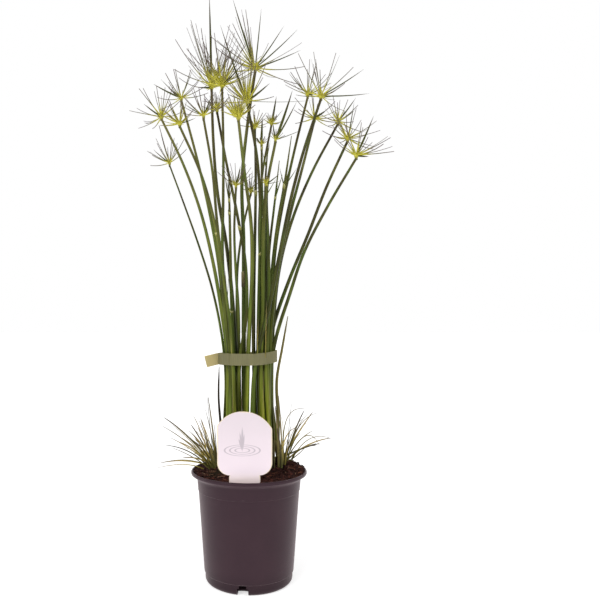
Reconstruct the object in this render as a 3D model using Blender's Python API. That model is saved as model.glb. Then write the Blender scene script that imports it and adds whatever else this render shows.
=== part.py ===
"""Potted papyrus plant: a nursery pot of peat with a tied bundle of culms, each ending in an umbel.

The origin is the centre of the pot's foot on the floor, +Z is up, and the plant's front is towards -Y.
Lengths in the tables are in millimetres and are turned to metres where the meshes are made.
"""
import math

import bmesh
import bpy
import numpy as np
from mathutils import Matrix, Vector
from mathutils.bvhtree import BVHTree

MM = 0.001
GAP = 0.3            # clearance between pieces that touch

# Pot
POT_HEIGHT = 123.2
RIM_RADIUS = 65.0
LIP_HEIGHT = 3.8
LIP_WALL = 1.6
LIP_EDGE = 0.7       # how far the lip's corners are eased
LIP_DRAFT = 0.4
SHOULDER_HEIGHT = 115.5
WALL_TOP_RADIUS = 58.3
SEAM_HEIGHT = 102.0
SEAM_STEP = 0.6
SEAM_RISE = 0.8
WALL_FOOT_RADIUS = 50.2
FOOT_RADIUS = 49.0
FOOT_HEIGHT = 12.0
FOOT_STEP_HALF = 0.4    # half the height over which the foot steps in
FOOT_DRAFT = 0.2
FOOT_FILLET = 5.0
FOOT_RING_WIDTH = 3.0
FLOOR_RISE = 4.0
WALL = 1.2
SIDES = 36
NOTCH_COUNT = 3
NOTCH_WIDTH = 12.0
NOTCH_HEIGHT = 8.0
HOLE_WIDTH = 8.0       # the drainage hole opens above the middle of each notch
HOLE_HEIGHT = 11.2
NOTCH_DEPTH = 20.0
NOTCH_TURN = -98.0    # degrees from +X, which puts one notch a little left of the front

# Soil
SOIL_RADIUS = 62.0
SOIL_EDGE = 121.0
SOIL_CROWN = 8.5
SOIL_BOTTOM = 11.0
SOIL_RINGS = 6
LUMP_HEIGHT = 0.8
LUMP_WIDTH = 21.0
CRUMB_HEIGHT = 0.3
CRUMB_WIDTH = 8.0
HEAP_X = 42.0        # the heap at the back right
HEAP_Y = 20.0
HEAP_HEIGHT = 6.5
HEAP_REACH = 17.0
HEAP_FADE = 6.0      # width over which the heap dies out before the rim
LUMP_FADE = 14.0
SLOT_ROOM = 0.35     # clearance of the label's slot

# Label
LABEL_X = -4.5
LABEL_Y = -53.8
LABEL_THICK = 0.8
LABEL_WIDTH = 57.4
LABEL_TOP = 195.5
LABEL_SHOULDER = 179.0
LABEL_CORNER = 142.0
LABEL_NECK = 129.0
LABEL_NECK_WIDTH = 32.5
LABEL_NECK_BOTTOM = 120.5
LABEL_STAKE_TOP = 117.0
LABEL_STAKE_TOP_WIDTH = 18.0
LABEL_STAKE_WIDTH = 10.0
LABEL_STAKE_BOTTOM = 104.0
LABEL_TOP_STEP = 15      # degrees between the points of the arched top
LABEL_CORNER_STEP = 25
LABEL_CORNER_END = 75

# Tie
TIE_HEIGHT = 248.0
TIE_TALL = 13.4
TIE_MARGIN = 1.8    # room kept between the outer culms and the band
TIE_THICK = 0.8
TIE_CENTRE_X = -1.2
TIE_HALF_WIDTH = 33.2
TIE_HALF_DEPTH = 26.0
TIE_TAIL = 14.5
TIE_TAIL_DROOP = 0.25
TIE_TAIL_JOIN = 0.1
TIE_TAIL_ROOTS = (1.2, 0.4, -0.4, -1.2)    # depths on the inner face that match the tail's four corners
TIE_LIFT = 0.0032    # how fast the right side of the band rises, per millimetre from the middle
TIE_SIDES = 40

# Culms: x at the soil, at the tie, at the waist, at the bow and at the chest of those that are tall,
# then the head (x, y, z), the depth at the tie and the girth as a share of the full girth.
CULM_FOOT = 122.0
WAIST_HEIGHT = 314.0
BOW_HEIGHT = 370.5
CHEST_HEIGHT = 450.0
ROUTE_TOP = 584.0
ROUTE_STEP = 8.0
LEAN_POWER = 1.4     # how late a culm leaves the bundle in depth
CULM_RADIUS = 2.5
CULM_TAPER = 0.5
CULM_SIDES = 6
CULM_CORNER = 0.1    # how far the three corners of the section stand out, as a share of the radius
CULM_RINGS = 8
FOOT_ROUNDS = 3
CULMS = {
    "01": (-31, -28, -39, -56, -85, (-96, 50, 479), 3, 0.7),
    "02": (-26, -24, -33, -44, -67, (-105, 45, 533), -8, 1.0),
    "03": (-21, -21, -28, -33, -52, (-76, -20, 504), -14, 1.0),
    "04": (-18, -25, -30, -37, -53, (-77, 5, 541), 9, 0.95),
    "05": (-14, -18, -24, -32, -39, (-48, -45, 504), -18, 0.9),
    "06": (-10, -15, -19, -25, -38, (-44, 30, 563), 5, 1.1),
    "07": (-20, -20, -27, -30, -28, (-29, -30, 542), 15, 0.95),
    "08": (-15, -10, -2, -6, -22, (-36, 0, 526), -12, 0.95),
    "09": (-16, -17, -20, -21, None, (-23, -5, 460), -2, 0.9),
    "10": (-9, -11, -12, -16, None, (-14, -35, 432), -8, 0.85),
    "11": (-3, -1, 2, 4, -5, (-11, -50, 501), -19, 1.1),
    "12": (-4, -6, -6, -6, -8, (7, 0, 573), -4, 1.15),
    "13": (14, 10, 11, 12, 11, (-2, -30, 525), -9, 1.05),
    "14": (-12, -14, -14, -12, None, (2, 30, 440), 16, 0.85),
    "15": (12, 5.5, 5.5, 6.5, 8, (7, 35, 518), 10, 1.0),
    "16": (20, 15, 18, 18, 14, (14, -10, 485), 1, 0.9),
    "17": (14, 12, 14, 12, 14, (26, 20, 518), 17, 0.85),
    "18": (19, 15, 20, 19, 19, (25, 55, 522), 11, 0.8),
    "19": (26, 19, 22, 21, 21, (29, -20, 487), -10, 1.1),
    "20": (19, 13, 16, 15, None, (19, -20, 438), -14, 1.25),
    "21": (21, 17, 20, 23, 32, (34, -5, 470), -4, 0.8),
    "22": (24, 21, 24, 28, 41, (49, 15, 504), 4, 0.9),
    "23": (26, 23, 26, 30, 44, (69, 30, 554), 9, 0.95),
    "24": (4, 8, 24, 35, 52, (79, -20, 534), -20, 1.05),
    "25": (23, 23, 28, 37, 57, (75, 10, 520), -6, 1.0),
    "26": (27, 26, 30, 39, 67, (104, 25, 521), 3, 1.0),
    "27": (22, 20, 37, 60, 91, (110, -10, 491), 16, 1.05),
    "28": (35, 25, 43, 62, None, (112, -55, 460), -3, 1.0),
}

# Settling: culms that come too near each other part in depth, round by round.
SETTLE_ROUNDS = 120
SETTLE_SHARE = 0.35
CULM_CLEARANCE = 1.4

# Rays and bracts, which give way to whatever stands in their path
RAY_CLEARANCE = 0.5
NEAR = 8.0             # how far round a ray its neighbours are looked for
BALL_STEP = 1.3        # spacing of the balls that stand for a ray or a culm in that test
RAY_OWNER = 100
TUFT_OWNER = 61
RAY_HALF_WIDTH = 0.45
RAY_TIP = 0.1
RAY_SAG = 0.07         # sag at the bend, as a share of the length
RAY_BEND_SHARE = 0.5
RAY_LENGTHS = (0.84, 1.04)
RAY_SWING = 0.15       # radians by which a ray's direction may stray
RAY_TRIES = ((0, 1.0), (10, 1.0), (-10, 1.0), (20, 0.9), (-20, 0.9), (0, 0.7), (30, 0.7), (-30, 0.7),
             (0, 0.5))
BRACT_SHIFTS = (0, 6, -6, 12, -12, 18, -18, 24, -24)
BRACT_SAG = 0.02
BLADE_ARCH = -0.1

# Hubs: the twenty facets of a small ball; it stands on one, and the outermost of the others has its
# normal OUTER_FACET_POLAR degrees from upright.
HUB_RADIUS = 3.4
SMALL_HUB_RADIUS = 2.4
SMALL_REACH = 18
HUB_CORE = 0.95
HUB_SIDE = 2.6         # a ray is tested against its sisters only beyond this many hub radii
FACET_ROOT = 0.6       # inner radius of a facet, as a share of the hub's
LOWEST_FACET = -0.6    # cosine past which a facet looks too far down to carry a ray
OUTER_FACET_POLAR = 109.5
YOUNG = ("09", "18", "21", "22")
YOUNG_TIP_RADIUS = 0.35

# Umbels: reach and spread of the rays, a turn of the hub, and the tips of the thick bracts
# as (x, y, z) from the head with their half width.
UMBELS = {
    "01": (33, 62, 10, [(-19, -4, 15, 0.9), (-13, 2, 46, 0.5)]),
    "02": (40, 76, 25, [(-20, -6, 13, 1.0), (-40, 8, 10, 0.5), (-28, 6, 36, 0.5)]),
    "03": (26, 68, 40, [(-13, -5, 23, 0.8), (17, 6, 8, 0.8)]),
    "04": (36, 88, 5, [(-31, -5, 14, 0.9), (-24, 4, 23, 0.8), (14, -6, 31, 0.9)]),
    "05": (29, 70, 15, [(-21, 3, 14, 0.7), (9, -6, 19, 0.7)]),
    "06": (74, 60, 50, [(-2, -10, 103, 1.2), (-16, -7, -3, 1.2), (-24, 8, 80, 0.6), (-10, 20, 77, 0.6)]),
    "07": (56, 70, 35, [(28, -12, 25, 1.1), (4, 8, 50, 1.0), (22, -6, 48, 0.6)]),
    "08": (22, 60, 20, []),
    "10": (26, 60, 0, [(5, -6, 20, 0.7)]),
    "11": (24, 62, 30, [(-11, -3, 15, 1.0), (-12, -4, 27, 0.9)]),
    "12": (68, 92, 15, [(-25, -5, 75, 1.2), (-12, -6, 12, 1.1), (7, 6, 70, 0.6), (48, 6, 46, 0.6),
                         (51, -5, 18, 0.6), (32, -12, 42, 0.6)]),
    "13": (48, 80, 45, [(-29, -6, 82, 1.1), (24, -8, 16, 1.0), (-22, 6, 10, 0.7), (72, 6, 3, 0.6)]),
    "14": (20, 70, 10, [(2, -5, 24, 0.7)]),
    "15": (20, 75, 25, [(-10, -6, 8, 0.8)]),
    "16": (10, 60, 0, [(1, 3, 31, 1.3), (-9, -4, 9, 0.7)]),
    "17": (13, 70, 35, [(6, 5, 33, 1.2), (13, -5, 14, 0.9)]),
    "19": (12, 60, 20, [(19, 6, 56, 1.5), (22, -8, 36, 1.3), (30, 6, 13, 0.6), (-3, 3, 21, 0.7)]),
    "20": (9, 60, 30, [(14, -8, 9, 0.7), (15, 5, 3, 0.7)]),
    "23": (38, 68, 15, [(10, -7, -1, 1.1), (-22, 6, 28, 0.6)]),
    "24": (50, 82, 40, [(-10, 8, 44, 0.6), (20, -6, 43, 0.6), (46, -6, 27, 0.6), (54, 6, 5, 0.6)]),
    "25": (32, 100, 5, [(13, -6, 7, 1.1)]),
    "26": (30, 85, 30, [(18, -8, 10, 1.1), (22, 7, 30, 0.8)]),
    "27": (36, 92, 20, [(33, 6, -8, 1.0), (8, 5, 42, 1.0)]),
    "28": (37, 84, 0, [(17, -5, 39, 1.0), (11, -9, -4, 1.1), (37, 6, 20, 0.5), (38, -6, 2, 0.5)]),
}

# Basal leaves: the foot (x, y) of a clump, the size of its crown, the half width of its blades and
# their tips from the crown.
TUFT_TURN = 20.0
TUFTS = {
    "leaf_tuft_left": ((-40, -8), 4.2, 1.0, [
        (-54, -6, 54), (-55, 8, 44), (-50, -12, 27), (-43, 12, 22), (-36, -14, 38), (-26, 10, 44),
        (-20, -6, 32), (-16, 12, 48), (-6, -8, 77), (-3, 6, 72), (-59, 3, 2), (-30, -18, 16)]),
    "leaf_tuft_right": ((42, 8), 4.0, 1.0, [
        (50, -10, 24), (32, 14, 50), (20, -8, 56), (8, 6, 62), (32, -16, 18), (26, 10, 34),
        (-4, 12, 44), (14, -12, 44), (2, -4, 30), (40, 10, 14)]),
}
LONE_LEAVES = {
    "dry_leaf_left": [(-34, 8, 0), (-33.5, 7, 158), (-35.5, 6, 204), (-34, 6, 239)],
    "young_leaf_right": [(31.5, 13, 0), (32, 13, 178), (31.5, 13.5, 226), (37.5, 12, 258), (44.5, 10, 296)],
}
LONE_LEAF_RADIUS = 1.0
LONE_LEAF_FLATNESS = 0.6
SHARP_ANGLE = 35       # degrees past which an edge is shaded sharp


def principled(name, colour, roughness):
    """A plain Principled material of one colour."""
    material = bpy.data.materials.new(name)
    material.use_nodes = True
    shader = material.node_tree.nodes["Principled BSDF"]
    shader.inputs["Base Color"].default_value = (*colour, 1.0)
    shader.inputs["Roughness"].default_value = roughness
    return material


def add_object(name, bm, material, smooth=True, turn_out=True):
    """Turn a millimetre bmesh into an object in metres; a hub's facets already look outwards."""
    if turn_out:
        bmesh.ops.recalc_face_normals(bm, faces=bm.faces)
    bmesh.ops.scale(bm, vec=(MM, MM, MM), verts=bm.verts)
    mesh = bpy.data.meshes.new(name)
    bm.to_mesh(mesh)
    bm.free()
    if smooth:
        mesh.shade_smooth()
        mesh.set_sharp_from_angle(angle=math.radians(SHARP_ANGLE))
    mesh.materials.append(material)
    obj = bpy.data.objects.new(name, mesh)
    bpy.context.collection.objects.link(obj)
    return obj


def cut(obj, cutter):
    """Cut one object with another by an exact Boolean, and keep the cutter out of the model."""
    modifier = obj.modifiers.new("cut_" + cutter.name, "BOOLEAN")
    modifier.operation = "DIFFERENCE"
    modifier.solver = "EXACT"
    modifier.object = cutter
    cutter.hide_render = True
    cutter.display_type = "WIRE"


def add_loop(bm, points):
    return [bm.verts.new(point) for point in points]


def bridge(bm, lower, upper):
    """Wall of quads between two loops of the same count, closed round."""
    count = len(lower)
    for i in range(count):
        j = (i + 1) % count
        bm.faces.new((lower[i], lower[j], upper[j], upper[i]))


def close_to_point(bm, loop, point):
    tip = bm.verts.new(point)
    for i, vert in enumerate(loop):
        bm.faces.new((vert, loop[(i + 1) % len(loop)], tip))


def circle(radius, height):
    """Points of one ring of a turned piece; height is a number or a function of x and y."""
    points = []
    for i in range(SIDES):
        angle = 2 * math.pi * i / SIDES
        x, y = radius * math.cos(angle), radius * math.sin(angle)
        points.append((x, y, height(x, y) if callable(height) else height))
    return points


def turned(rings, first, last):
    """Closed turned body through rings of (radius, height), with a pole at either end."""
    bm = bmesh.new()
    loops = [add_loop(bm, circle(radius, height)) for radius, height in rings]
    for lower, upper in zip(loops, loops[1:]):
        bridge(bm, lower, upper)
    close_to_point(bm, loops[0], first)
    close_to_point(bm, loops[-1], last)
    return bm


def wall_radius(height):
    """Outer radius of the sloping wall, with the small step out at the seam."""
    share = (height - FOOT_HEIGHT) / (SHOULDER_HEIGHT - FOOT_HEIGHT)
    low = WALL_FOOT_RADIUS + share * (WALL_TOP_RADIUS - SEAM_STEP - WALL_FOOT_RADIUS)
    return low + (SEAM_STEP if height > SEAM_HEIGHT else 0.0)


def inner_radius(height):
    """Inner radius of the wall, which has no seam step."""
    share = (height - FOOT_HEIGHT) / (SHOULDER_HEIGHT - FOOT_HEIGHT)
    return WALL_FOOT_RADIUS - WALL + share * (WALL_TOP_RADIUS - SEAM_STEP - WALL_FOOT_RADIUS)


def pot_rings():
    """Profile of the pot from under its raised floor, round the foot and lip, and down inside."""
    flat_out = FOOT_RADIUS - FOOT_FILLET
    flat_in = flat_out - FOOT_RING_WIDTH
    slant = WALL * (math.sqrt(2.0) - 1.0)
    lip_low = POT_HEIGHT - LIP_HEIGHT
    lip_in = RIM_RADIUS - LIP_WALL
    shoulder_in = SHOULDER_HEIGHT - WALL
    fillet = []
    for turn in (30, 60, 90):
        angle = math.radians(turn)
        fillet.append((flat_out + FOOT_FILLET * math.sin(angle), FOOT_FILLET * (1 - math.cos(angle))))
    under = [(flat_in - FLOOR_RISE, FLOOR_RISE), (flat_in, 0.0), (flat_out, 0.0)]
    outside = [(FOOT_RADIUS + FOOT_DRAFT, FOOT_HEIGHT - FOOT_STEP_HALF),
               (WALL_FOOT_RADIUS, FOOT_HEIGHT + FOOT_STEP_HALF),
               (wall_radius(SEAM_HEIGHT), SEAM_HEIGHT),
               (wall_radius(SEAM_HEIGHT + SEAM_RISE), SEAM_HEIGHT + SEAM_RISE),
               (WALL_TOP_RADIUS, SHOULDER_HEIGHT)]
    lip = [(RIM_RADIUS - LIP_EDGE, lip_low), (RIM_RADIUS, lip_low + LIP_EDGE),
           (RIM_RADIUS, POT_HEIGHT - LIP_EDGE), (RIM_RADIUS - LIP_EDGE, POT_HEIGHT),
           (lip_in, POT_HEIGHT), (lip_in - LIP_DRAFT, lip_low)]
    inside = [(inner_radius(shoulder_in), shoulder_in), (inner_radius(FOOT_HEIGHT), FOOT_HEIGHT),
              (FOOT_RADIUS - WALL, FOOT_FILLET), (flat_out, WALL), (flat_in + slant, WALL),
              (flat_in - FLOOR_RISE + slant, FLOOR_RISE + WALL)]
    return under + fillet + outside + lip + inside


def build_pot():
    pot = add_object("pot", turned(pot_rings(), (0, 0, FLOOR_RISE), (0, 0, FLOOR_RISE + WALL)),
                     principled("pot_plastic", (0.055, 0.038, 0.042), 0.42))
    for index in range(NOTCH_COUNT):
        angle = math.radians(NOTCH_TURN + 360.0 * index / NOTCH_COUNT)
        for width, height in ((NOTCH_WIDTH, NOTCH_HEIGHT), (HOLE_WIDTH, HOLE_HEIGHT)):
            block = bmesh.new()
            bmesh.ops.create_cube(block, size=1.0)
            bmesh.ops.scale(block, vec=(NOTCH_DEPTH, width, 2 * height), verts=block.verts)
            bmesh.ops.translate(block, vec=(FOOT_RADIUS, 0.0, 0.0), verts=block.verts)
            cutter = add_object(f"notch_cutter_{index + 1}", block, pot.data.materials[0], smooth=False)
            cutter.rotation_euler = (0.0, 0.0, angle)
            cut(pot, cutter)


def fading(radius, width):
    """One over most of the soil, falling to zero over the given width at the rim."""
    return min(1.0, max(0.0, (RIM_RADIUS - LIP_WALL - radius) / width))


def soil_height(x, y):
    """Top of the peat: an even crown, a heap at the back right, and lumps with smaller crumbs."""
    radius = math.hypot(x, y)
    crown = SOIL_CROWN * max(0.0, 1 - (radius / SOIL_RADIUS) ** 2)
    from_heap = (x - HEAP_X) ** 2 + (y - HEAP_Y) ** 2
    heap = HEAP_HEIGHT * math.exp(-from_heap / (2 * HEAP_REACH ** 2)) * fading(radius, HEAP_FADE)
    wave = 2 * math.pi / LUMP_WIDTH
    lumps = LUMP_HEIGHT * math.sin(x * wave + 1.0) * math.cos(y * wave)
    crumbs = CRUMB_HEIGHT * math.sin((x - y) * 2 * math.pi / CRUMB_WIDTH)
    return SOIL_EDGE + crown + heap + (lumps + crumbs) * fading(radius, LUMP_FADE)


def build_soil():
    """Peat that fills the pot to its shoulder and covers it; a slot takes the label's stake."""
    lip_low = POT_HEIGHT - LIP_HEIGHT
    edge = RIM_RADIUS - LIP_WALL - LIP_DRAFT - 2 * GAP
    side = [(inner_radius(SOIL_BOTTOM) - GAP, SOIL_BOTTOM),
            (inner_radius(SHOULDER_HEIGHT) - WALL, SHOULDER_HEIGHT - WALL),
            (edge, lip_low + GAP)]
    top = [(edge * (1 - i / SOIL_RINGS), soil_height) for i in range(SOIL_RINGS)]
    bm = turned(side + top, (0, 0, SOIL_BOTTOM), (0, 0, soil_height(0, 0)))
    bmesh.ops.triangulate(bm, faces=bm.faces)
    tree = BVHTree.FromBMesh(bm)
    soil = add_object("soil", bm, principled("peat", (0.045, 0.022, 0.017), 0.95))
    cut(soil, label_prism("label_slot_cutter", SLOT_ROOM))
    return tree


def ground(tree, x, y, reach):
    """Highest point of the soil under a small disc, plus the clearance."""
    above = POT_HEIGHT + 100.0
    heights = []
    for share in (0.0, 0.6, 1.15):
        for dx, dy, _ in circle(share * reach, above):
            hit = tree.ray_cast(Vector((x + dx, y + dy, above)), Vector((0, 0, -1)))
            heights.append(hit[0].z)
    return max(heights) + GAP


def label_outline(grow):
    """Right half of the tag from its arched top down to the stake, mirrored to the left."""
    half = LABEL_WIDTH / 2 + grow
    rise = LABEL_TOP - LABEL_SHOULDER
    corner = LABEL_CORNER - LABEL_NECK
    right = []
    for turn in range(0, 91, LABEL_TOP_STEP):
        angle = math.radians(turn)
        right.append((half * math.sin(angle), LABEL_SHOULDER + rise * math.cos(angle) + grow))
    for turn in range(0, LABEL_CORNER_END + 1, LABEL_CORNER_STEP):
        angle = math.radians(turn)
        right.append((half - corner * (1 - math.cos(angle)), LABEL_CORNER - corner * math.sin(angle) - grow))
    right += [(LABEL_NECK_WIDTH / 2 + grow, LABEL_NECK - grow),
              (LABEL_NECK_WIDTH / 2 + grow, LABEL_NECK_BOTTOM),
              (LABEL_STAKE_TOP_WIDTH / 2 + grow, LABEL_STAKE_TOP),
              (LABEL_STAKE_WIDTH / 2 + grow, LABEL_STAKE_BOTTOM - grow)]
    return right + [(-x, z) for x, z in reversed(right[1:])]


def label_prism(name, grow):
    """The tag's outline given a thickness; grown a little, it is the cutter of its slot."""
    bm = bmesh.new()
    half = LABEL_THICK / 2 + grow
    front = add_loop(bm, [(LABEL_X + x, LABEL_Y - half, z) for x, z in label_outline(grow)])
    back = add_loop(bm, [(LABEL_X + x, LABEL_Y + half, z) for x, z in label_outline(grow)])
    bridge(bm, front, back)
    bm.faces.new(front)
    bm.faces.new(list(reversed(back)))
    return add_object(name, bm, principled(name + "_sheet", (0.78, 0.72, 0.78), 0.5), smooth=False)


def tie_plan():
    """Plan of the band as matching outer and inner points; the outer side runs out into the tail."""
    outer, inner = [], []
    inner_x, inner_y = TIE_HALF_WIDTH - TIE_THICK, TIE_HALF_DEPTH - TIE_THICK
    end = TIE_CENTRE_X - TIE_HALF_WIDTH
    for i in range(TIE_SIDES):
        angle = 2 * math.pi * i / TIE_SIDES
        inside = (TIE_CENTRE_X + inner_x * math.cos(angle), inner_y * math.sin(angle))
        if i == TIE_SIDES // 2:
            near, far = end + TIE_TAIL_JOIN, end - TIE_TAIL
            outer += [(near, TIE_THICK), (far, TIE_THICK), (far, -TIE_THICK), (near, -TIE_THICK)]
            inner += [(inside[0], depth) for depth in TIE_TAIL_ROOTS]
            continue
        outer.append((TIE_CENTRE_X + TIE_HALF_WIDTH * math.cos(angle), TIE_HALF_DEPTH * math.sin(angle)))
        inner.append(inside)
    return outer, inner


def tie_lift(x):
    """How far the band leaves its level: it rises to the right and its tail droops."""
    end = TIE_CENTRE_X - TIE_HALF_WIDTH
    return TIE_LIFT * max(0.0, x) ** 2 - TIE_TAIL_DROOP * max(0.0, end - x)


def build_tie():
    """The band as four loops: its outer and inner faces, joined along the lower and upper edges."""
    bm = bmesh.new()
    outer, inner = tie_plan()
    loops = []
    for points in (outer, inner):
        for edge in (TIE_HEIGHT - TIE_TALL / 2, TIE_HEIGHT + TIE_TALL / 2):
            loops.append(add_loop(bm, [(x, y, edge + tie_lift(x)) for x, y in points]))
    outer_low, outer_high, inner_low, inner_high = loops
    bridge(bm, outer_low, outer_high)
    bridge(bm, inner_high, inner_low)
    bridge(bm, outer_high, inner_high)
    bridge(bm, inner_low, outer_low)
    add_object("tie_band", bm, principled("tape", (0.30, 0.26, 0.13), 0.35))


def smooth_through(knots, values, heights):
    """Cubic Hermite curve through the knots, with the slopes of a parabola through each three."""
    knots, values = np.asarray(knots, float), np.asarray(values, float)
    slopes = np.gradient(values, knots)
    spans = np.clip(np.searchsorted(knots, heights) - 1, 0, len(knots) - 2)
    step = knots[spans + 1] - knots[spans]
    t = (heights - knots[spans]) / step
    return ((2 * t**3 - 3 * t**2 + 1) * values[spans] + (t**3 - 2 * t**2 + t) * step * slopes[spans]
            + (-2 * t**3 + 3 * t**2) * values[spans + 1] + (t**3 - t**2) * step * slopes[spans + 1])


def tie_room(x):
    """Depth that the band leaves free on either side of its middle at x."""
    across = np.clip((x - TIE_CENTRE_X) / (TIE_HALF_WIDTH - TIE_THICK), -1.0, 1.0)
    return (TIE_HALF_DEPTH - TIE_THICK) * np.sqrt(1 - across**2)


def culm_routes():
    """Centre lines of the culms at even heights: x from the table, depth settled so that none touch."""
    heights = np.arange(CULM_FOOT, ROUTE_TOP, ROUTE_STEP)
    count = len(CULMS)
    x = np.full((count, len(heights)), np.nan)
    y, radius = x.copy(), x.copy()
    for row, (foot, tie, waist, bow, chest, head, depth, girth) in enumerate(CULMS.values()):
        live = heights <= head[2] + ROUTE_STEP
        knots = [CULM_FOOT, TIE_HEIGHT, WAIST_HEIGHT, BOW_HEIGHT, CHEST_HEIGHT, head[2]]
        spots = [foot, tie, waist, bow, chest, head[0]]
        if chest is None:
            del knots[-2], spots[-2]
        share = np.clip((heights[live] - TIE_HEIGHT) / (head[2] - TIE_HEIGHT), 0.0, 1.0)
        x[row, live] = smooth_through(knots, spots, heights[live])
        y[row, live] = depth + (head[1] - depth) * share**LEAN_POWER
        climb = (heights[live] - CULM_FOOT) / (head[2] - CULM_FOOT)
        radius[row, live] = CULM_RADIUS * girth * (1 - CULM_TAPER * np.clip(climb, 0.0, 1.0))
    for _ in range(SETTLE_ROUNDS):
        push_apart(heights, x, y, radius)
    return heights, x, y, radius


def push_apart(heights, x, y, radius):
    """One round: at each height, culms that come too near part in depth, then each route is smoothed."""
    for level, height in enumerate(heights):
        rows = np.flatnonzero(~np.isnan(x[:, level]))
        across = x[rows, None, level] - x[None, rows, level]
        deep = y[rows, None, level] - y[None, rows, level]
        need = radius[rows, None, level] + radius[None, rows, level] + CULM_CLEARANCE
        wanted = np.sqrt(np.clip(need**2 - across**2, 0.0, None))
        short = np.clip(wanted - np.abs(deep), 0.0, None)
        np.fill_diagonal(short, 0.0)
        y[rows, level] += SETTLE_SHARE * (short * np.sign(deep)).sum(axis=1)
        if abs(height - TIE_HEIGHT) < TIE_TALL:
            outer_side = x[rows, level] + np.sign(x[rows, level]) * radius[rows, level]
            room = tie_room(outer_side) - radius[rows, level] - TIE_MARGIN
            y[rows, level] = np.clip(y[rows, level], -room, room)
    for row in y:
        live = ~np.isnan(row)
        even = row[live]
        even[1:-1] = (even[:-2] + 2 * even[1:-1] + even[2:]) / 4
        row[live] = even


class Crowd:
    """Every placed stretch of the plant as small balls, to find whether a new one has room."""

    def __init__(self):
        self.points = np.empty((0, 3))
        self.radii = np.empty(0)
        self.owners = np.empty(0, int)

    def add(self, points, radii, owner):
        self.points = np.vstack((self.points, points))
        self.radii = np.append(self.radii, radii)
        self.owners = np.append(self.owners, np.full(len(radii), owner))

    def room(self, points, radii, ignored):
        """Smallest gap to anything whose owner isn't ignored."""
        low, high = points.min(axis=0) - NEAR, points.max(axis=0) + NEAR
        near = ((self.points > low) & (self.points < high)).all(axis=1) & ~np.isin(self.owners, ignored)
        if not near.any():
            return NEAR
        gaps = np.linalg.norm(points[:, None] - self.points[None, near], axis=2)
        return (gaps - radii[:, None] - self.radii[None, near]).min()


def along(spots, widths):
    """Balls along a broken line whose half width changes evenly between its spots."""
    points, radii = [], []
    for (start, end), (wide, narrow) in zip(zip(spots, spots[1:]), zip(widths, widths[1:])):
        count = max(2, int(np.linalg.norm(end - start) / BALL_STEP))
        share = np.linspace(0.0, 1.0, count)
        points.append(start + (end - start) * share[:, None])
        radii.append(wide + (narrow - wide) * share)
    return np.vstack(points), np.concatenate(radii)


def culm_section(x, y, z, radius):
    """Level ring of a culm: a rounded three-cornered section."""
    ring = []
    for i in range(CULM_SIDES):
        angle = 2 * math.pi * i / CULM_SIDES
        reach = radius * (1.0 + CULM_CORNER * math.cos(3 * angle))
        ring.append((x + reach * math.cos(angle), y + reach * math.sin(angle), z))
    return ring


def build_culm(number, row, routes, tree, crowd):
    """One stem, standing on the soil and ending flat under its umbel; returns its top."""
    heights, x, y, radius = routes
    live = ~np.isnan(x[row])
    head = CULMS[number][5]
    start = SOIL_EDGE + SOIL_CROWN
    for _ in range(FOOT_ROUNDS):
        foot = [float(np.interp(start, heights[live], side[row, live])) for side in (x, y)]
        start = ground(tree, *foot, radius[row, 0])
    levels = np.linspace(start, head[2], CULM_RINGS)
    xs = np.interp(levels, heights[live], x[row, live])
    ys = np.interp(levels, heights[live], y[row, live])
    rs = np.interp(levels, heights[live], radius[row, live])
    if number in YOUNG:
        rs[-1] = YOUNG_TIP_RADIUS
    bm = bmesh.new()
    loops = [add_loop(bm, culm_section(*spot)) for spot in zip(xs, ys, levels, rs)]
    for lower, upper in zip(loops, loops[1:]):
        bridge(bm, lower, upper)
    bm.faces.new(loops[0])
    bm.faces.new(loops[-1])
    add_object(f"stem_{number}", bm, principled(f"culm_{number}", (0.09, 0.11, 0.035), 0.45))
    crowd.add(*along(np.column_stack((xs, ys, levels)), rs), int(number))
    lean = np.array((xs[-1] - xs[-2], ys[-1] - ys[-2], levels[-1] - levels[-2]))
    return np.array((xs[-1], ys[-1], levels[-1])), lean / np.linalg.norm(lean)


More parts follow.
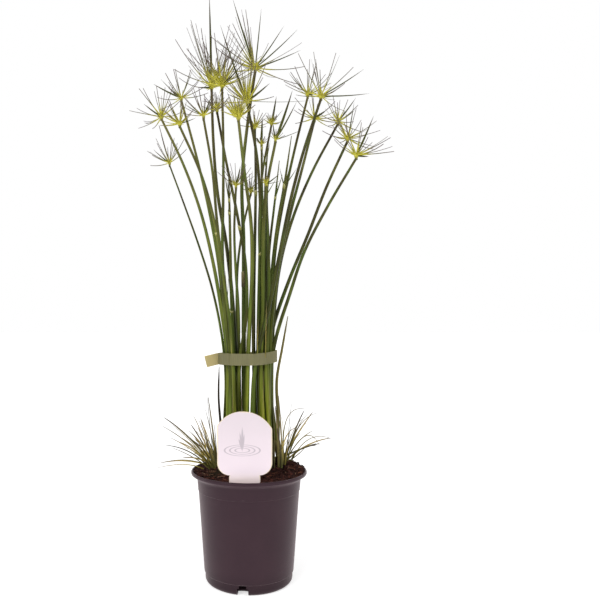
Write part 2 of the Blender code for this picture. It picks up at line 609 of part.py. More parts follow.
class Spray:
    """A hub that stands on one of its twenty facets, the others of which are drawn out into rays."""

    def __init__(self, owner, base, size, turn):
        self.owner = owner
        self.size = size
        self.bm = bmesh.new()
        bmesh.ops.create_icosphere(self.bm, subdivisions=1, radius=size)
        self.bm.normal_update()
        self.bm.faces.ensure_lookup_table()
        upright = self.bm.faces[0].normal.rotation_difference(Vector((0, 0, -1))).to_matrix()
        spin = Matrix.Rotation(math.radians(turn), 3, "Z") @ upright
        bmesh.ops.rotate(self.bm, matrix=spin, verts=self.bm.verts)
        self.centre = Vector(base) - Vector((0, 0, min(vert.co.z for vert in self.bm.verts) - GAP))
        bmesh.ops.translate(self.bm, vec=self.centre, verts=self.bm.verts)
        self.bm.normal_update()
        self.free = [face for face in self.bm.faces if face.normal.z > LOWEST_FACET]

    def nearest(self, tip):
        """Free facet that looks towards the tip most."""
        return max(self.free, key=lambda face: face.normal.dot((tip - self.centre).normalized()))

    def balls(self, face, bend, tip, half_width):
        """Balls along a ray, split into those beside the hub and those clear of it."""
        start = face.calc_center_median()
        spots = [np.array(spot) for spot in (start, bend, tip)]
        points, radii = along(spots, (FACET_ROOT * self.size, half_width, RAY_TIP))
        beside = np.linalg.norm(points - np.array(self.centre), axis=1) < HUB_SIDE * self.size
        return points, radii, beside

    def draw(self, face, tip, sag, half_width, crowd):
        """Draw the facet out to the tip if there is room for it."""
        length = (tip - self.centre).length
        bend = self.centre + (tip - self.centre) * RAY_BEND_SHARE - Vector((0, 0, sag * length))
        points, radii, beside = self.balls(face, bend, tip, half_width)
        own = (self.owner, self.owner + RAY_OWNER)
        if crowd.room(points[beside], radii[beside], own) < RAY_CLEARANCE:
            return False
        if not beside.all() and crowd.room(points[~beside], radii[~beside], own[:1]) < RAY_CLEARANCE:
            return False
        crowd.add(points[beside], radii[beside], own[0])
        crowd.add(points[~beside], radii[~beside], own[1])
        self.extend(face, bend, tip, half_width)
        return True

    def extend(self, face, bend, tip, half_width):
        """Replace the facet by walls to a small ring at the bend and on to a point."""
        base = list(face.verts)
        centre = face.calc_center_median()
        swing = face.normal.rotation_difference((tip - centre).normalized())
        shrink = half_width / (base[0].co - centre).length
        ring = add_loop(self.bm, [bend + shrink * (swing @ (vert.co - centre)) for vert in base])
        self.free.remove(face)
        self.bm.faces.remove(face)
        bridge(self.bm, base, ring)
        close_to_point(self.bm, ring, tip)


def start_umbel(number, top, crowd):
    """The bare hub, just clear of the culm's top."""
    reach, _spread, turn, _bracts = UMBELS[number]
    size = HUB_RADIUS if reach > SMALL_REACH else SMALL_HUB_RADIUS
    spray = Spray(int(number), top, size, turn)
    crowd.add(np.array([spray.centre]), np.array([HUB_CORE * size]), spray.owner)
    return spray


def draw_bracts(spray, number, crowd):
    """The thick bracts keep their place as seen from the front and give way in depth."""
    for x, y, z, half_width in UMBELS[number][3]:
        for shift in BRACT_SHIFTS:
            tip = spray.centre + Vector((x, y + shift, z))
            if spray.draw(spray.nearest(tip), tip, BRACT_SAG, half_width, crowd):
                break


def draw_rays(spray, number, lean, crowd):
    """The other facets become rays, spread evenly round the way the culm leans."""
    reach, spread, _turn, _bracts = UMBELS[number]
    rng = np.random.default_rng(int(number))
    tilt = Vector((0, 0, 1)).rotation_difference(Vector(lean))
    for face in list(spray.free):
        polar = math.acos(face.normal.z) * spread / OUTER_FACET_POLAR
        azimuth = math.atan2(face.normal.y, face.normal.x) + rng.uniform(-RAY_SWING, RAY_SWING)
        length = reach * rng.uniform(*RAY_LENGTHS)
        for swing, share in RAY_TRIES:
            swung = azimuth + math.radians(swing)
            out = math.sin(polar)
            way = Vector((out * math.cos(swung), out * math.sin(swung), math.cos(polar)))
            tip = spray.centre + (tilt @ way) * length * share
            if spray.draw(face, tip, RAY_SAG, RAY_HALF_WIDTH, crowd):
                break


def build_tuft(name, owner, tree, crowd):
    """A crown at the soil drawn out into arching blades."""
    (x, y), size, half_width, tips = TUFTS[name]
    spray = Spray(owner, (x, y, ground(tree, x, y, FACET_ROOT * size) - GAP), size, TUFT_TURN)
    for tip in tips:
        reach_to = spray.centre + Vector(tip)
        for shift in BRACT_SHIFTS:
            moved = reach_to + Vector((0, shift, 0))
            if spray.draw(spray.nearest(moved), moved, BLADE_ARCH, half_width, crowd):
                break
    green = principled(name + "_green", (0.16, 0.17, 0.06), 0.6)
    add_object(name, spray.bm, green, smooth=False, turn_out=False)


def build_lone_leaf(name, tree):
    """One thin leaf of a diamond section, from the soil through its points to a sharp tip."""
    points = [list(point) for point in LONE_LEAVES[name]]
    points[0][2] = ground(tree, points[0][0], points[0][1], LONE_LEAF_RADIUS)
    bm = bmesh.new()
    loops = []
    wide, deep = LONE_LEAF_RADIUS, LONE_LEAF_RADIUS * LONE_LEAF_FLATNESS
    for x, y, z in points[:-1]:
        ring = [(x + wide, y, z), (x, y + deep, z), (x - wide, y, z), (x, y - deep, z)]
        loops.append(add_loop(bm, ring))
    for lower, upper in zip(loops, loops[1:]):
        bridge(bm, lower, upper)
    bm.faces.new(loops[0])
    close_to_point(bm, loops[-1], points[-1])
    add_object(name, bm, principled(name + "_blade", (0.12, 0.11, 0.06), 0.6), smooth=False)


def build_plant(tree):
    """Culms first, then leaves, all the thick bracts and, in what room is left, the rays."""
    routes = culm_routes()
    crowd = Crowd()
    tops = {number: build_culm(number, row, routes, tree, crowd) for row, number in enumerate(CULMS)}
    for owner, name in enumerate(TUFTS, start=TUFT_OWNER):
        build_tuft(name, owner, tree, crowd)
    for name in LONE_LEAVES:
        build_lone_leaf(name, tree)
    sprays = {number: start_umbel(number, tops[number][0], crowd) for number in UMBELS}
    for number, spray in sprays.items():
        draw_bracts(spray, number, crowd)
    for number, spray in sprays.items():
        draw_rays(spray, number, tops[number][1], crowd)
        green = principled(f"rays_{number}", (0.22, 0.23, 0.08), 0.6)
        add_object(f"umbel_{number}", spray.bm, green, smooth=False, turn_out=False)


def main():
    for obj in list(bpy.data.objects):
        bpy.data.objects.remove(obj, do_unlink=True)
    build_pot()
    tree = build_soil()
    label_prism("plant_label", 0.0)
    build_tie()
    build_plant(tree)


main()
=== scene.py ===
"""Looks of the potted papyrus: moulded pot, peat, printed tag, tie, culms, sprays and basal leaves.

Each surface is a function of two parameters worked out on whole arrays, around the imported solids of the
plant and in their frame: metres, +Z up, the front towards -Y. What a solid already says is read from it.
"""
import math

import bpy
import numpy as np
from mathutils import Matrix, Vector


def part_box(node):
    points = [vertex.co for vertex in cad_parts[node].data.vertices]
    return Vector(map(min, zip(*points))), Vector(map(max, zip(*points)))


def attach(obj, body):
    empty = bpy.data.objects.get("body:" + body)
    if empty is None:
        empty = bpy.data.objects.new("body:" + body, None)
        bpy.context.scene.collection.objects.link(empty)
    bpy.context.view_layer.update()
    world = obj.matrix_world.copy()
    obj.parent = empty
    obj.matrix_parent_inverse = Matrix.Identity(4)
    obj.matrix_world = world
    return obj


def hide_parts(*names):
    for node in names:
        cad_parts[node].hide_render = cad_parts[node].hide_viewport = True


bl_info = {
    "name": "Potted Papyrus",
    "version": (1, 0, 0),
    "blender": (4, 5, 0),
    "location": "3D View > Sidebar > Papyrus",
    "description": "Builds a tied papyrus in its nursery pot around its packed solids",
    "category": "Object",
}

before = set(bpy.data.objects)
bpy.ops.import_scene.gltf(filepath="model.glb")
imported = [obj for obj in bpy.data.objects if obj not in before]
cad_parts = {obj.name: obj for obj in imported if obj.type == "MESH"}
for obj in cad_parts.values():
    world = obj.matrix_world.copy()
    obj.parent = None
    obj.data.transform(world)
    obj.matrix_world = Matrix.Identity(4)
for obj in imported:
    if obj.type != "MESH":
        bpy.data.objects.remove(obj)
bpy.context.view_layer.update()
MM = 0.001
FULL_TURN = 2 * math.pi
SAME_SPOT = 1e-6         # corners nearer than this are one corner of a solid
SHARP_ANGLE = 40         # degrees past which an edge is shaded sharp

# Pot: profile in millimetres from the floor up, as in the solid
POT_SIDES = 192
LIP_TALL = 3.8
LIP_WALL = 1.6
LIP_ROUND = 1.5
SHOULDER_Z = 115.5
SHOULDER_R = 58.3
SEAM_Z = 102.0
SEAM_STEP = 0.6
SEAM_RISE = 0.8
WALL_FOOT_R = 50.2
WALL_THICK = 1.2
FOOT_R = 49.0
FOOT_Z = 12.0
FOOT_ROUND = 5.0
FOOT_RING = 3.0
FLOOR_RISE = 4.0
NOTCHES = 3
NOTCH_SIZE = (12.0, 8.0)     # width and height
HOLE_SIZE = (8.0, 11.2)      # of the drainage hole above each notch
NOTCH_DEEP = 20.0
NOTCH_TURN = -98.0

# Soil
SOIL_COLUMNS = 360
SOIL_RINGS = 64
SOIL_LEVEL = 120.5       # corners of the solid above this height are its top
SOIL_REACH = 6.5         # how far the solid's corners count, as the deviation of a bell curve
SOIL_FOOT_Z = 13.0
SOIL_SHOULDER_R = 54.9
SOIL_SHOULDER_Z = 113.5
SOIL_LIP_GAP = 0.4
SOIL_LIP_Z = 119.5
CRUMB_BLOCK = 100        # crumbs worked out at a time
HEAP_SPOT = (46.0, 16.0)
HEAP_SPREAD = 15.0
MOSS_SPOT = (-0.036, -0.024, 0.123)      # in metres, as a finish reads it
# The peat is lower and free of loose grains before the tag, in millimetres
TAG_FRONT_X = -4.0
TAG_FRONT_HALF = 15.0
TAG_FRONT_Y = -50.0
TAG_FRONT_LEVEL = 119.4
GRAIN_FREE_HALF = 20.0
GRAIN_FREE_Y = -48.0

# Tag outline, in millimetres
TAG_SHOULDER = 179.0
TAG_CORNER = 142.0
TAG_NECK = 129.0
TAG_NECK_HALF = 16.25
TAG_NECK_FOOT = 120.5
TAG_STAKE_TOP = 117.0
TAG_STAKE_HALF = (5.0, 9.0)      # at its foot and at its top
TAG_ROUND = 48           # corners round the section
TAG_SKEW = 0.06          # fall of the arch to the right, per millimetre
TAG_SKEW_FROM = 160.0
TAG_SKEW_OVER = 20.0
TAG_EDGE = 20.0          # how far inside the cut edge its nearness is told
# Emblem: each reed's turn in degrees, then its middle's rise, half length and half width
REEDS = ((0.0, 11.5, 12.0, 1.1), (8.0, 9.0, 9.5, 1.0), (-7.0, 8.0, 8.5, 1.0), (17.0, 6.0, 6.5, 0.9))
RIPPLES = (7.5, 13.0, 18.5)
RIPPLE_SQUASH = 3.2      # how many times wider a ripple is than tall

# Tie
TIE_Z = 0.248            # middle of the tape's width, in metres
TIE_RISE = 3.2           # the tape climbs to the right by this times the square of x
TIE_DROOP = 0.25         # fall of the tail for each unit of its length
TAIL_GAP = 0.25          # half the distance between the tail's two layers, in millimetres

# Culms
CULM_SIDES = 6           # corners of a level ring of a culm's solid
CULM_STATIONS = 72
CULM_CORNERS = 21
CULM_TALL = 0.45         # height in metres over which the rind's colours run
# How light each culm's rind is, as a share from dark to light: partly the culm's own colour and partly
# painted light and shade, the lit culms at the bundle's lower left lightest and culms in the bundle's shade
# darkest
TONE_AND_PAINTED_LIGHT = {
    "01": 0.2, "02": 1.0, "03": 0.45, "04": 1.0, "05": 0.35, "06": 0.3, "07": 0.35, "08": 0.35, "09": 0.7,
    "10": 0.2, "11": 0.65, "12": 0.35, "13": 0.22, "14": 0.3, "15": 0.2, "16": 0.3, "17": 0.25, "18": 0.4,
    "19": 0.35, "20": 0.55, "21": 0.3, "22": 0.5, "23": 0.3, "24": 0.1, "25": 0.3, "26": 0.15, "27": 0.05,
    "28": 0.1,
}
# Torn sheaths at nodes: culm, height and length in millimetres, and how dry, from brown to straw
TORN_SHEATHS = (
    ("03", 384, 5, 1.0), ("08", 391, 4, 1.0), ("09", 409, 5, 1.0), ("09", 423, 6, 1.0), ("09", 299, 4, 1.0),
    ("13", 362, 4, 1.0), ("15", 436, 5, 1.0), ("12", 328, 16, 0.3),
    ("21", 426, 5, 1.0), ("22", 441, 5, 1.0), ("16", 480, 4, 1.0),
)
# Small bracts on young culms: culm, height of the root, then how far the tip lies across, in depth and up
SIDE_BRACTS = (
    ("21", 428, 3, -3, 17), ("21", 430, 8, 2, 25), ("22", 444, 5, -3, 18), ("22", 446, -5, 2, 21),
    ("23", 452, 11, -3, 16), ("20", 427, 11, -3, 18), ("09", 426, -5, -3, 28), ("09", 427, 4, -2, 22),
    ("18", 490, 4, -3, 18), ("18", 476, -4, -2, 16), ("09", 436, -3, 3, 16), ("05", 312, -2, -2, 33),
    ("05", 311, 2, -2, 34), ("04", 372, 3, -3, 20),
)

# Sprays: how far the bright roots reach out along the rays, as a multiple of 16 mm
ROOT_REACH = {
    "06": 2.0, "07": 2.0, "12": 2.0, "13": 2.2, "11": 1.7, "02": 1.4, "03": 1.4, "04": 0.8, "15": 1.0,
    "24": 1.3, "05": 0.55, "08": 0.8, "17": 0.7, "20": 0.6, "14": 0.6, "16": 0.45, "19": 0.45, "10": 0.45,
    "01": 0.6, "23": 1.0,
}
USUAL_REACH = 1.2
LARGE_REACH = 1.6        # an umbel past this is wide, and gets many more rays
SMALL_REACH = 0.5        # an umbel under this has thinner rays
SMALL_RAY = 0.72
RAY_STATIONS = 14
RAY_CORNERS = 5
BRACT_WIDTH = 0.55       # a ray of the solid wider than this, in millimetres, is a bract
BLADE_STATIONS = 14
LEAF_DRY = 0.24          # how dry the lone green leaf is
GREEN_SHARE = 0.55       # of the tufts' blades; the others are dry
# Veins: how much the noise is drawn out along the blade, its scale, its contrast and its relief
BLADE_VEINS = (0.04, 1100.0, (0.7, 1.3), 0.3)
SHEATH_VEINS = (0.03, 900.0, (0.6, 1.35), 0.4)

# Loose blades of the tufts in millimetres: root, middle and tip, half width, and how dry, from green to straw
LOOSE_BLADES = {
    "leaf_tuft_left": (
        (-40, -12, 128, -66, -14, 154, -95, -16, 174, 0.75, 0.3),
        (-41, -10, 127, -62, -16, 147, -86, -20, 162, 0.7, 0.9),
        (-43, -14, 126, -61, -18, 140, -84, -24, 152, 0.6, 0.2),
        (-38, -16, 130, -49, -18, 151, -66, -20, 170, 0.75, 0.8),
        (-36, -18, 132, -46, -20, 156, -60, -22, 171, 0.5, 1.0),
        (-37, -14, 131, -45, -16, 149, -53, -18, 164, 0.9, 0.9),
        (-36, -14, 130, -39, -16, 162, -45, -16, 206, 1.2, 0.45),
        (-36, -20, 130, -42, -22, 150, -54, -24, 172, 0.45, 0.1),
        (-38, -14, 130, -44, -16, 158, -54, -18, 184, 0.6, 0.9),
        (-36, -16, 130, -41, -16, 162, -48, -18, 193, 0.6, 0.1),
        (-35, -14, 130, -36, -16, 150, -38, -18, 176, 1.1, 0.2),
        (-38, -18, 128, -42, -20, 142, -47, -22, 158, 1.3, 0.1),
        (-50, -12, 126, -72, -16, 132, -101, -20, 129, 0.6, 0.8),
        (-17, -23.5, 128, -17.5, -23.5, 180, -18.5, -22, 236, 0.5, 0.95),
        (-8.2, -23.5, 128, -8, -23.5, 180, -8.2, -23.5, 237, 1.0, 0.3),
        (-19, -21, 250, -19.5, -21.5, 262, -20, -21, 276, 0.5, 1.0),
        (-3, -24.5, 250, -2.7, -24.5, 280, -3, -24.5, 322, 0.7, 0.2),
        (-36, -20, 134, -40, -22, 150, -45, -24, 161, 0.8, 0.05),
        (-38, -6, 130, -53, -4, 148, -70, -2, 160, 1.0, 0.12),
    ),
    "leaf_tuft_right": (
        (36, -8, 131, 40, -8, 158, 51, -8, 171, 0.9, 1.0),
        (40, -4, 130, 42, -6, 180, 64, -8, 192, 0.55, 0.25),
        (44, -6, 134, 55, -8, 171, 76, -10, 188, 0.55, 0.3),
        (42, -2, 132, 47, -2, 160, 60, 0, 180, 0.5, 0.5),
        (46, 0, 140, 66, -4, 162, 81, -8, 146, 0.55, 0.3),
        (46, -4, 134, 56, -6, 142, 64, -8, 151, 0.55, 0.1),
        (48, -2, 133, 68, -4, 158, 94, -6, 158, 0.5, 0.3),
        (37, -6, 129, 36, -8, 168, 33, -8, 207, 1.2, 0.3),
        (33, -14, 128, 32, -14, 160, 29, -14, 196, 1.3, 0.45),
        (26, -20, 138, 36, -20, 150, 46, -20, 167, 0.4, 0.1),
        (39, -6, 130, 37, -8, 152, 34, -10, 181, 1.3, 0.7),
        (40, -10, 130, 42, -12, 146, 45, -14, 158, 0.8, 0.9),
        (28, -18, 128, 28, -18, 164, 26, -18, 204, 1.4, 0.1),
        (36, -16, 128, 35, -16, 148, 31, -16, 172, 1.2, 0.1),
        (42, -6, 132, 54, -8, 170, 66, -10, 186, 0.45, 0.1),
        (39, -8, 130, 42, -8, 150, 47, -8, 174, 0.7, 0.05),
        (14, -24, 128, 15, -24, 180, 16, -23, 236, 0.45, 0.95),
        (22, -21, 128, 22, -21, 180, 22.5, -20, 236, 0.5, 0.9),
        (18, -21, 250, 18.5, -23, 285, 19, -23, 312, 0.8, 1.0),
        (9, -24, 250, 9.5, -24.5, 275, 10, -24.5, 292, 0.5, 0.95),
        (4.4, -24.5, 250, 4.6, -24.5, 285, 5, -24.5, 330, 0.8, 0.15),
    ),
}
# Stage
FLOOR_REACH = 30.0       # metres, far past the camera's frame
FLOOR_SIDES = 96
LAMP_SOFTNESS = 40       # degrees that a lamp spans in the sky
KEY_TURN = (58, 0, -38)  # from the upper left, in degrees
FILL_TURN = (62, 0, 42)  # from the upper right
CAMERA_SPOT = (0.0, -0.7, 0.2834)
CAMERA_LENS = 37.2
CAMERA_SHIFT = (0.085, 0.0453)


def srgb(code):
    """Linear red, green and blue of an sRGB hex colour."""
    channels = np.array([int(code[place:place + 2], 16) for place in (1, 3, 5)]) / 255
    curve = np.where(channels <= 0.04045, channels / 12.92, ((channels + 0.055) / 1.055) ** 2.4)
    return tuple(float(channel) for channel in curve)


def length(name, description, millimetres):
    """A length that a user may change, given in millimetres."""
    return bpy.props.FloatProperty(
        name=name, description=description, default=millimetres * MM, min=0.0, unit="LENGTH")


def colour(name, description, code):
    """A colour that a user may change, given as sRGB hex."""
    return bpy.props.FloatVectorProperty(
        name=name, description=description, default=srgb(code), size=3, min=0.0, max=1.0, subtype="COLOR")


def share(name, description, value):
    """A share from none to all that a user may change."""
    return bpy.props.FloatProperty(
        name=name, description=description, default=value, min=0.0, max=1.0, subtype="FACTOR")


def strength(name, description, value):
    """A strength of light that a user may change."""
    return bpy.props.FloatProperty(name=name, description=description, default=value, min=0.0)


def spot(name, description, millimetres):
    """A coordinate that a user may change, given in millimetres to either side."""
    return bpy.props.FloatProperty(
        name=name, description=description, default=millimetres * MM, unit="LENGTH")


def number(name, description, value):
    """A count that a user may change."""
    return bpy.props.IntProperty(name=name, description=description, default=value, min=0)


def add_node(tree, kind, inputs=None, stops=None, **settings):
    """Adds a shader node, sets its options, ramp stops and sockets, and links what is a node or socket."""
    node = tree.nodes.new("ShaderNode" + kind)
    for option, value in settings.items():
        setattr(node, option, value)
    for index, (place, code) in enumerate(stops or ()):
        ramp = node.color_ramp.elements
        stop = ramp[index] if index < len(ramp) else ramp.new(place)
        stop.position = place
        stop.color = (*srgb(code), 1.0)
    for key, value in (inputs or {}).items():
        source = value.outputs[0] if isinstance(value, bpy.types.Node) else value
        if isinstance(source, bpy.types.NodeSocket):
            tree.links.new(source, node.inputs[key])
        else:
            node.inputs[key].default_value = source
    return node


def new_finish(name, *reads):
    """An empty material, its node tree, and what its pattern follows: place, or marks of the mesh."""
    material = bpy.data.materials.new(name)
    material.use_nodes = True
    tree = material.node_tree
    tree.nodes.clear()
    followed = []
    for read in reads:
        if read == "place":
            followed.append(add_node(tree, "TexCoord").outputs["Object"])
        else:
            mark = add_node(tree, "Attribute", attribute_name=read)
            followed.append(mark.outputs["Vector" if read == "straight" else "Fac"])
    return material, tree, *followed


def apart_from(tree, value, centre):
    """How far a value lies from a centre, either way."""
    off = add_node(tree, "Math", {0: value, 1: centre}, operation="SUBTRACT")
    return add_node(tree, "Math", {0: off}, operation="ABSOLUTE")


def close_finish(tree, shader):
    """Links the shader to the material's output."""
    add_node(tree, "OutputMaterial", {"Surface": shader})


# Skins: closed meshes as arrays

def solid(name):
    """Corners and triangles of a node's solid, its loose triangles merged at shared corners."""
    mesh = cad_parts[name].data
    corners = np.empty(len(mesh.vertices) * 3, np.float32)
    mesh.vertices.foreach_get("co", corners)
    loops = np.empty(len(mesh.loops), np.int32)
    mesh.loops.foreach_get("vertex_index", loops)
    corners = corners.reshape(-1, 3).astype(float)
    keys = np.round(corners / SAME_SPOT).astype(np.int64)
    _, first, shared = np.unique(keys, axis=0, return_index=True, return_inverse=True)
    return corners[first], shared.reshape(-1)[loops].reshape(-1, 3)


def net(rings, first, last, finish=0, straight=None, along=None, tint=0.0):
    """Closed skins over stacks of rings, (stack, row, column, xyz), with a pole before and after each.

    Corner (row, column) of a stack joins its neighbours in the next row and, round the ring, the next column;
    the first and last rings close to their poles.
    """
    count, rows, columns, _ = rings.shape
    corner = np.arange(count * rows * columns).reshape(count, rows, columns)
    beside = np.roll(corner, -1, axis=2)
    quads = np.stack((corner[:, :-1], beside[:, :-1], beside[:, 1:], corner[:, 1:]), axis=-1).reshape(-1, 4)
    poles = count * rows * columns + np.arange(2 * count).reshape(2, count)
    before, after = (np.repeat(pole[:, None], columns, axis=1) for pole in poles)
    low = np.stack((before, beside[:, 0], corner[:, 0]), axis=-1)
    high = np.stack((after, corner[:, -1], beside[:, -1]), axis=-1)
    points = np.concatenate((rings.reshape(-1, 3), np.asarray(first).reshape(-1, 3),
                             np.asarray(last).reshape(-1, 3)))
    straight = rings if straight is None else straight
    ends = (straight[:, 0].mean(axis=1), straight[:, -1].mean(axis=1))
    along = np.linspace(0.0, 1.0, rows) if along is None else along
    along = np.broadcast_to(along, (count, rows))
    tint = np.broadcast_to(tint, count)
    return {
        "points": points,
        "quads": quads,
        "triangles": np.concatenate((low.reshape(-1, 3), high.reshape(-1, 3))),
        "straight": np.concatenate((straight.reshape(-1, 3), *ends)),
        "along": np.concatenate((np.repeat(along.reshape(-1), columns), along[:, 0], along[:, -1])),
        "tint": np.concatenate((np.repeat(tint, rows * columns), tint, tint)),
        "finish": finish,
    }


def unit(vectors):
    """Vectors drawn out or in to length one."""
    return vectors / np.linalg.norm(vectors, axis=-1, keepdims=True)


def strands(paths, widths, depths, outline, side, slant=0.0, **marks):
    """One outline swept along many paths, (strand, station, xyz), each closed to a pole at either end.

    At each station the outline's two coordinates are scaled by the half width along the side vector and by
    the half depth square to it and to the path; slant shifts a corner along the path by its side.
    """
    count, stations, _ = paths.shape
    ahead = unit(np.gradient(paths, axis=1))
    side = np.broadcast_to(side, (count, 3))[:, None]
    across = unit(side - (side * ahead).sum(axis=2, keepdims=True) * ahead)
    out = np.cross(ahead, across)
    widths = np.broadcast_to(widths, (count, stations))[:, :, None]
    depths = np.broadcast_to(depths, (count, stations))[:, :, None]
    slant = np.broadcast_to(slant, (count, stations))[:, :, None]
    wide, deep, shifted = widths * outline[:, 0], depths * outline[:, 1], slant * outline[:, 0]
    rings = (paths[:, :, None] + wide[..., None] * across[:, :, None] + deep[..., None] * out[:, :, None]
             + shifted[..., None] * ahead[:, :, None])
    steps = np.linalg.norm(np.diff(paths, axis=1), axis=2)
    run = np.concatenate((np.zeros((count, 1)), np.cumsum(steps, axis=1)), axis=1)
    straight = np.stack((wide, deep, np.broadcast_to(run[:, :, None], wide.shape)), axis=-1)
    return net(rings, paths[:, 0], paths[:, -1], straight=straight, **marks)


def lay_piece(name, skins, finishes, node=None):
    """One mesh object of the skins, smooth with sharp creases, riding on the root body for its node."""
    offsets = np.cumsum([0] + [len(skin["points"]) for skin in skins])
    quads = np.concatenate([skin["quads"] + start for skin, start in zip(skins, offsets)])
    triangles = np.concatenate([skin["triangles"] + start for skin, start in zip(skins, offsets)])
    mesh = bpy.data.meshes.new(name)
    mesh.vertices.add(int(offsets[-1]))
    mesh.vertices.foreach_set("co", np.concatenate([skin["points"] for skin in skins]).ravel())
    mesh.loops.add(quads.size + triangles.size)
    mesh.loops.foreach_set("vertex_index", np.concatenate((quads.ravel(), triangles.ravel())))
    mesh.polygons.add(len(quads) + len(triangles))
    starts = np.concatenate((np.arange(len(quads)) * 4, quads.size + np.arange(len(triangles)) * 3))
    mesh.polygons.foreach_set("loop_start", starts)
    finish = [np.full(len(skin["quads"]), skin["finish"]) for skin in skins]
    finish += [np.full(len(skin["triangles"]), skin["finish"]) for skin in skins]
    mesh.update(calc_edges=True)
    mesh.validate()
    for material in finishes:
        mesh.materials.append(material)
    mesh.polygons.foreach_set("material_index", np.concatenate(finish).astype(np.int32))
    for mark, kind in (("straight", "FLOAT_VECTOR"), ("along", "FLOAT"), ("tint", "FLOAT")):
        values = np.concatenate([skin[mark] for skin in skins]).astype(np.float32)
        layer = mesh.attributes.new(mark, kind, "POINT")
        layer.data.foreach_set("vector" if kind == "FLOAT_VECTOR" else "value", values.ravel())
    mesh.shade_smooth()
    mesh.set_sharp_from_angle(angle=math.radians(SHARP_ANGLE))
    piece = bpy.data.objects.new(name, mesh)
    bpy.context.scene.collection.objects.link(piece)
    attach(piece, "root")
    if node is not None:
        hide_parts(node)
    return piece


def ring_outline(corners, lobes=0, depth=0.0):
    """Unit outline of a round or lobed section: radius 1 + depth * cos(lobes * turn)."""
    turn = np.arange(corners) * FULL_TURN / corners
    radius = 1 + depth * np.cos(lobes * turn)
    return np.column_stack((radius * np.cos(turn), radius * np.sin(turn)))


def slab_outline(corners, across, deep, start=0.0):
    """Unit outline of a flat slab with round edges: powers of the cosine and the sine, with their signs."""
    turn = (np.arange(corners) + start) * FULL_TURN / corners
    return np.column_stack((np.sign(np.cos(turn)) * np.abs(np.cos(turn)) ** across,
                            np.sign(np.sin(turn)) * np.abs(np.sin(turn)) ** deep))


def blade_outline(fold):
    """Unit outline of a leaf blade: a shallow V with its keel below and a thin edge at either side."""
    side = np.array((1.0, 0.5, 0.0, -0.5, -1.0))
    rise = fold * np.abs(side)
    upper = np.column_stack((side, rise + (0.16, 0.2, 0.22, 0.2, 0.16)))
    lower = np.column_stack((-side, rise - (0.05, 0.28, 0.45, 0.28, 0.05)))
    return np.vstack((upper, lower))


def smooth_through(knots, values, at):
    """Cubic Hermite curve through the knots, with the slopes of a parabola through each three."""
    slopes = np.gradient(values, knots, axis=0)
    span = np.clip(np.searchsorted(knots, at) - 1, 0, len(knots) - 2)
    step = knots[span + 1] - knots[span]
    shape = (-1,) + (1,) * (values.ndim - 1)
    t = ((at - knots[span]) / step).reshape(shape)
    step = step.reshape(shape)
    return ((2 * t**3 - 3 * t**2 + 1) * values[span] + (t**3 - 2 * t**2 + t) * step * slopes[span]
            + (3 * t**2 - 2 * t**3) * values[span + 1] + (t**3 - t**2) * step * slopes[span + 1])


def waves(x, y, size, count, rng):
    """Even random ground: the mean of sine waves of about one size in random directions and phases."""
    turn = rng.uniform(0, FULL_TURN, count)
    pace = FULL_TURN / (size * rng.uniform(0.7, 1.4, count))
    phase = rng.uniform(0, FULL_TURN, count)
    reach = x[..., None] * np.cos(turn) + y[..., None] * np.sin(turn)
    return np.sin(reach * pace + phase).mean(axis=-1) * math.sqrt(2 * count) / 2


# Finishes

